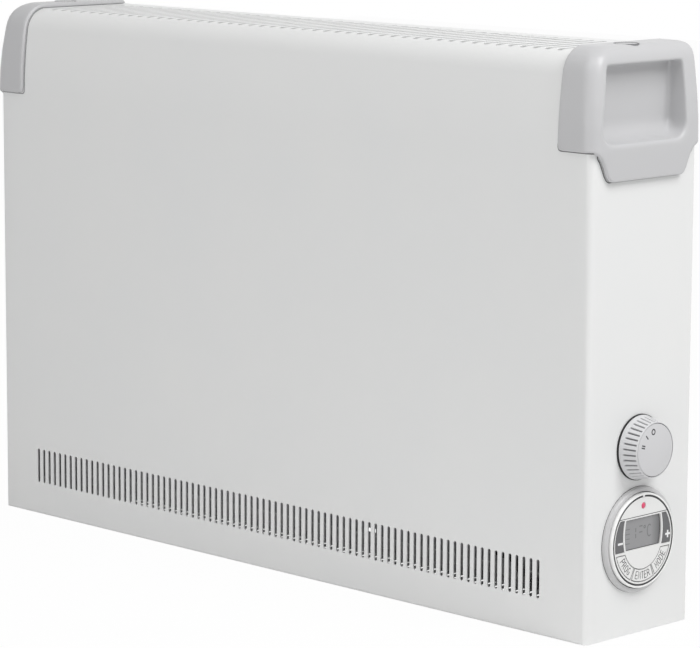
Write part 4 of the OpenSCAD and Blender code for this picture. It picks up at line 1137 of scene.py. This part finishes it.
    def _keys(self, skins: CadSkins) -> None:
        """Dresses the five keys and prints their outlines, signs and words.

        The plus sign's upright is two strokes, above and below its bar, so that no faces coincide.

        Args:
            skins: The CAD nodes.
        """
        low_keys = ("left_key", "middle_key", "right_key")
        for key in ("minus_key", "plus_key", *low_keys):
            skins.skin(key, key + "_cap", WHITE_ABS if key in low_keys else KEY_GREY, 0.15)
        grow = self.key_gap + self.key_line / 2
        lines = [skins.outline(key, TIMER_PLACE, self.face_h, grow) for key in low_keys]
        self._printed("key_outlines", lines, self.key_line, self.face_h, 0.03, LINE_GREY, "timer_white")
        minus = [np.array([(-28.4, 1.1), (-22.8, 1.1)])]
        plus = [np.array([(25.3, 0.7), (30.9, 0.7)]), np.array([(28.1, -2.1), (28.1, -0.1)]),
                np.array([(28.1, 1.5), (28.1, 3.5)])]
        signs = [("minus_sign", minus, self.sign_width, SIGN_WHITE, "minus_key", "key_grey"),
                 ("plus_sign", plus, self.sign_width, SIGN_WHITE, "plus_key", "key_grey")]
        words = (("PROG", -self.word_angle, 1.3), ("ENTER", 0.0, 1.0), ("MODE", self.word_angle, 1.3))
        width, height = self.letter_size
        for key, (word, middle, gap) in zip(low_keys, words):
            lines = ring_word(word, middle, self.word_r, height, width, gap)
            signs.append((key + "_word", lines, self.letter_line, SIGN_DARK, key, "timer_white"))
        for name, lines, width, finish, key, slot in signs:
            self._printed(name, lines, width, self.face_h, 0.04, finish, slot, skins.body[key])


@dataclass
class CarryingEnds:
    """The grey moulded ends: rounded lips and edges, and the shadow gap round them.

    A share says how far a point moves towards its neighbours' mean in each pass.
    """

    face_size: float = 0.9
    passes: int = 24
    mouth_low: float = 161.0
    mouth_high: float = 220.0
    mouth_x: float = 315.0
    mouth_y: tuple[float, float] = (-117.0, -17.0)
    skirt_z: float = 156.0
    skirt_end_x: float = 334.5
    skirt_front_y: float = -121.0
    inner_x: float = 303.5
    back_y: float = -11.0
    plug: tuple[float, float] = (314.5, -65.5)
    plug_r: float = 10.4
    plug_low: float = 212.0
    corner_x: float = 301.0
    corner_y: float = -112.0
    corner_r: float = 5.0
    mouth_share: float = 0.22
    lip_share: float = 0.5
    body_share: float = 0.4
    tongue_share: float = 0.16
    rim_share: float = 0.06

    def build(self, skins: CadSkins) -> None:
        """Dresses both ends, and draws their gaps and plugs.

        Args:
            skins: The CAD nodes.
        """
        for side in ("left", "right"):
            skins.moulded(
                side + "_end_cap", side + "_carrying_end", CASE_ABS, self.face_size, self.passes, self.ease
            )
        ShadowGap(-1, GAP_LIGHT).build(skins)
        ShadowGap(1, GAP_GREY).build(skins)
        CapPlugs().build()

    def ease(self, points: np.ndarray) -> np.ndarray:
        """Says how strongly each point of an end is eased.

        The lip below the grip is eased most, with a smooth step to the mouth above it. The body comes
        next, then the tongue's edge, and least of all the rims on the case and the ring round a plug.
        The lower front corner is eased as the body is, so that it is round.

        Args:
            points: Points (count, 3).

        Returns:
            Shares (count,).
        """
        x, y, z = np.abs(points[:, 0]), points[:, 1], points[:, 2]
        low = np.clip((self.mouth_low + 14 - z) / 12, 0, 1)
        mouth = self.mouth_share + (self.lip_share - self.mouth_share) * low * low * (3 - 2 * low)
        in_mouth = (z > self.mouth_low - 4) & (z < self.mouth_high) & (x > self.mouth_x)
        in_mouth &= (y > self.mouth_y[0]) & (y < self.mouth_y[1])
        share = np.where(in_mouth, mouth, self.body_share)
        skirt = z < self.skirt_z + 2.5
        rim = skirt & ((x < self.skirt_end_x) | (y < self.skirt_front_y))
        rim |= (x < self.inner_x) | (y > self.back_y)
        share = np.where(skirt & ~rim, self.tongue_share, share)
        plug = (np.hypot(x - self.plug[0], y - self.plug[1]) < self.plug_r) & (z > self.plug_low)
        share = np.where(plug | rim, self.rim_share, share)
        corner = (np.hypot(x - self.corner_x, z - self.skirt_z) < self.corner_r) & (y < self.corner_y)
        return np.where(corner, self.body_share, share)


@dataclass
class ShadowGap:
    """The dark gap along a carrying end's edge, as a thin band that lies on the case."""

    side: int
    finish: Finish
    width: float = 0.75
    thick: float = 0.12
    reach: float = 60.0
    case_half: float = 333.0
    corner_r: float = 6.0
    front_y: float = -123.0
    mid_y: float = -65.5
    inner_x: float = 300.75
    low: float = 155.7
    bow_r: float = 3.0
    bend: tuple[float, float] = (-100.0, 207.0)
    tongue_reach: float = 56.5
    tongue: tuple[tuple[float, float], ...] = (
        (0.0, 133.7), (38.7, 133.7), (41.4, 135.1), (43.9, 138.4), (48.9, 148.8), (52.3, 153.1),
        (54.5, 154.6), (57.0, 155.7),
    )

    def build(self, skins: CadSkins) -> None:
        """Drops the band's line onto the case and sweeps its section along it.

        The section's corners stand at p + a n + h o, with n across the line at point p and o outwards.

        Args:
            skins: The CAD nodes.
        """
        side = "right" if self.side > 0 else "left"
        start, toward = self._probes()
        on_case = skins.dropped(start, toward, ("case_wrapper", side + "_end_panel"))
        out = -toward
        along = np.gradient(on_case, axis=0)
        along /= np.linalg.norm(along, axis=1, keepdims=True)
        across = np.cross(out, along)
        half = self.width / 2
        corners = [(-half, -0.05), (half, -0.05), (half, self.thick), (-half, self.thick)]
        rows = np.stack([on_case + a * across + h * out for a, h in corners], 1)
        band = grid_piece(side + "_end_gap", rows, True, True, True)
        finish_piece(band, self.finish, "heater", "grey_moulding")

    def _probes(self) -> tuple[np.ndarray, np.ndarray]:
        """Gives points around the case and the directions in which they drop onto it.

        They run along the tongue on the end face, round the case's corner, along the front with a bow
        up to the end's inner edge, and over the bend at the top.

        Returns:
            Start points and directions, each (count, 3).
        """
        line = np.array([(-u, z) for u, z in self.tongue[:0:-1]] + list(self.tongue))[::-1]
        line = np.concatenate([np.linspace(p, q, 8, endpoint=False) for p, q in zip(line[:-1], line[1:])])
        front = self.front_y + self.corner_r - self.mid_y
        line = line[(line[:, 0] < self.tongue_reach) & (line[:, 0] > front)]
        end_x = np.full(len(line), self.case_half + self.reach)
        end = np.stack([end_x, self.mid_y + line[:, 0], line[:, 1]], -1)
        turn = np.radians(np.linspace(0, 90, 12))
        centre = np.array([self.case_half - self.corner_r, self.front_y + self.corner_r, self.low])
        round_out = np.stack([np.cos(turn), -np.sin(turn), 0 * turn], -1)
        bow = np.radians(np.linspace(0, 90, 7))
        front_x = np.concatenate([
            np.linspace(self.case_half - self.corner_r - 1, self.inner_x + self.bow_r + 0.5, 8),
            self.inner_x + self.bow_r * (1 - np.sin(bow)), np.full(12, self.inner_x),
        ])
        front_z = np.concatenate([
            np.full(8, self.low), self.low + self.bow_r * (1 - np.cos(bow)),
            np.linspace(self.low + self.bow_r + 1, self.bend[1], 12),
        ])
        front = np.stack([front_x, np.full(len(front_x), self.front_y - self.reach), front_z], -1)
        lift = np.radians(np.linspace(6, 84, 14))
        lift_out = np.stack([0 * lift, -np.cos(lift), np.sin(lift)], -1)
        over = np.array([self.inner_x, *self.bend]) + self.reach * lift_out
        ahead = np.array([0.0, -1.0, 0.0])
        start = np.concatenate([end, centre + self.reach * round_out, front, over])
        out = np.concatenate([
            np.tile([1.0, 0.0, 0.0], (len(end), 1)), round_out, np.tile(ahead, (len(front), 1)), lift_out,
        ])
        flip = np.array([self.side, 1, 1])
        return start * flip, -out * flip


@dataclass
class CrossScrews:
    """Pan-head screws with a cross recess, in the places of a CAD node's screws.

    Screws that lie in front of forward_of face the other way.
    """

    node: str
    outward: tuple[float, float, float]
    forward_of: float = -math.inf
    head_r: float = 3.5
    head_h: float = 1.6
    shank_r: float = 1.6
    arm_half: float = 0.45
    reach: float = 1.8
    depth: float = 0.9

    def build(self, skins: CadSkins) -> None:
        """Builds one screw for each separate solid of the node.

        Args:
            skins: The CAD nodes.
        """
        screws = []
        for low, high in skins.separate_boxes(self.node):
            out = np.array(self.outward) * (-1 if low[1] < self.forward_of else 1)
            axis = np.abs(out)
            level = np.where(out > 0, high, low) @ axis - self.head_h * (out @ axis)
            origin = (low + high) / 2 * (1 - axis) + level * axis
            right = np.array([-out[1], out[0], 0.0]) if axis[2] < 0.5 else np.array([1.0, 0.0, 0.0])
            length = float((high - low) @ axis) - self.head_h
            place = Place(tuple(origin), tuple(right), tuple(np.cross(out, right)))
            rings = place.points(self._surface(length))
            screws.append(grid_piece(self.node + "_one", rings, True, True, True))
        piece = joined(screws, self.node + "_crossed")
        smooth_to(piece, 35)
        finish_piece(piece, SCREW_ZINC, skins.body[self.node], skins.slot[self.node], self.node)

    def _surface(self, length: float) -> np.ndarray:
        """Works out one screw as rings from its tip to the middle of its recess.

        The head is a flat dome, and the points of a ring that lie in the cross's arms, or within its
        middle, are sunk. In each ring the arms' edges stand at the angle asin(half width / radius).

        Args:
            length: Length of the shank.

        Returns:
            Points (rings, columns, 3) with the head's underside at height zero.
        """
        inner = self.arm_half * math.sqrt(2)
        rings = [(self.shank_r, -length, 0), (self.shank_r, 0.0, 0), (self.head_r, 0.0, 0),
                 (self.head_r, 0.35, 0)]
        for r in (0.97, 0.9, 0.78, 0.65):
            rings.append((self.head_r * r, self._dome(self.head_r * r), 0))
        rings += [(self.reach, self._dome(self.reach), 0), (self.reach, self._dome(self.reach), 1)]
        rings += [(1.2, self._dome(1.2), 1), (inner, self._dome(inner), 1), (inner, self._dome(inner), 2)]
        r, h, sunk = (np.array(column, float)[:, None] for column in zip(*rings))
        edge = np.arcsin(self.arm_half / np.clip(r, inner, self.reach))
        square = math.pi / 2
        flat = 0 * edge
        quarter = np.concatenate([flat, edge, edge, flat + square / 2, square - edge, square - edge], 1)
        angle = np.concatenate([quarter + k * square for k in range(4)], 1)
        in_arm = np.tile([1.0, 1.0, 0.0, 0.0, 0.0, 1.0], 4)
        drop = self.depth * np.clip(np.where(sunk > 1, 1, (sunk > 0) * in_arm), 0, 1)
        return np.stack([r * np.cos(angle), r * np.sin(angle), h + 0 * angle - drop], -1)

    def _dome(self, r: float) -> float:
        """Height of the head at a radius."""
        return 0.5 + (self.head_h - 0.5) * math.sqrt(max(0.0, 1 - (r / self.head_r) ** 2))


@dataclass
class CapPlugs:
    """The plugs over the ends' screws: flat discs with a rounded edge, in a narrow gap drawn as painted
    shade.
    """

    x: float = 314.5
    y: float = -65.5
    top: float = 230.7
    radius: float = 8.6
    gap: float = 0.8

    def build(self) -> None:
        """Builds both plugs and the gap round each."""
        plugs = []
        gaps = []
        for side in (-1, 1):
            place = Place((side * self.x, self.y, self.top), (1.0, 0.0, 0.0), (0.0, 1.0, 0.0))
            disc = [(0.3, 0.0), (self.radius - 0.5, 0.0), (self.radius - 0.15, -0.12), (self.radius, -0.5),
                    (self.radius, -1.2), (0.3, -1.2)]
            plugs.append(turned(disc, place, "plug", closed=False, steps=96))
            ring = [(self.radius, -1.0), (self.radius + self.gap, -1.0), (self.radius + self.gap, 0.27),
                    (self.radius, 0.27)]
            gaps.append(turned(ring, place, "plug_gap", steps=96))
        for pieces, name, finish, nodes in ((plugs, "screw_plugs", CASE_ABS, ("cap_plugs",)),
                                            (gaps, "plug_gaps", GAP_LIGHT, ())):
            piece = joined(pieces, name)
            smooth_to(piece, 40)
            finish_piece(piece, finish, "heater", "grey_moulding", *nodes)


def build_case(skins: CadSkins) -> None:
    """Dresses the steel case and its tray, and makes their screws.

    Args:
        skins: The CAD nodes.
    """
    for node, name in (("case_wrapper", "steel_case"), ("left_end_panel", "left_steel_end"),
                       ("right_end_panel", "right_steel_end"), ("base_tray", "slotted_tray")):
        skins.skin(node, name, POWDER_COAT)
    CrossScrews("back_screws", (0.0, 1.0, 0.0)).build(skins)
    CrossScrews("element_screws", (0.0, 1.0, 0.0), forward_of=-60.0).build(skins)
    CrossScrews("base_screws", (0.0, 0.0, 1.0)).build(skins)


def main() -> None:
    """Builds the scene in order and reports each piece."""
    logging.basicConfig(level=logging.INFO, format="%(name)s: %(message)s")
    for old in list(bpy.data.objects):
        bpy.data.objects.remove(old)
    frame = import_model()
    bpy.context.scene.view_settings.view_transform = "Standard"
    PhotoCamera().build()
    Studio().build()
    skins = CadSkins(frame)
    skins.dress_all()
    build_case(skins)
    CarryingEnds().build(skins)
    HeatKnob().build()
    TimerDial().build(skins)


if __name__ == "__main__":
    main()
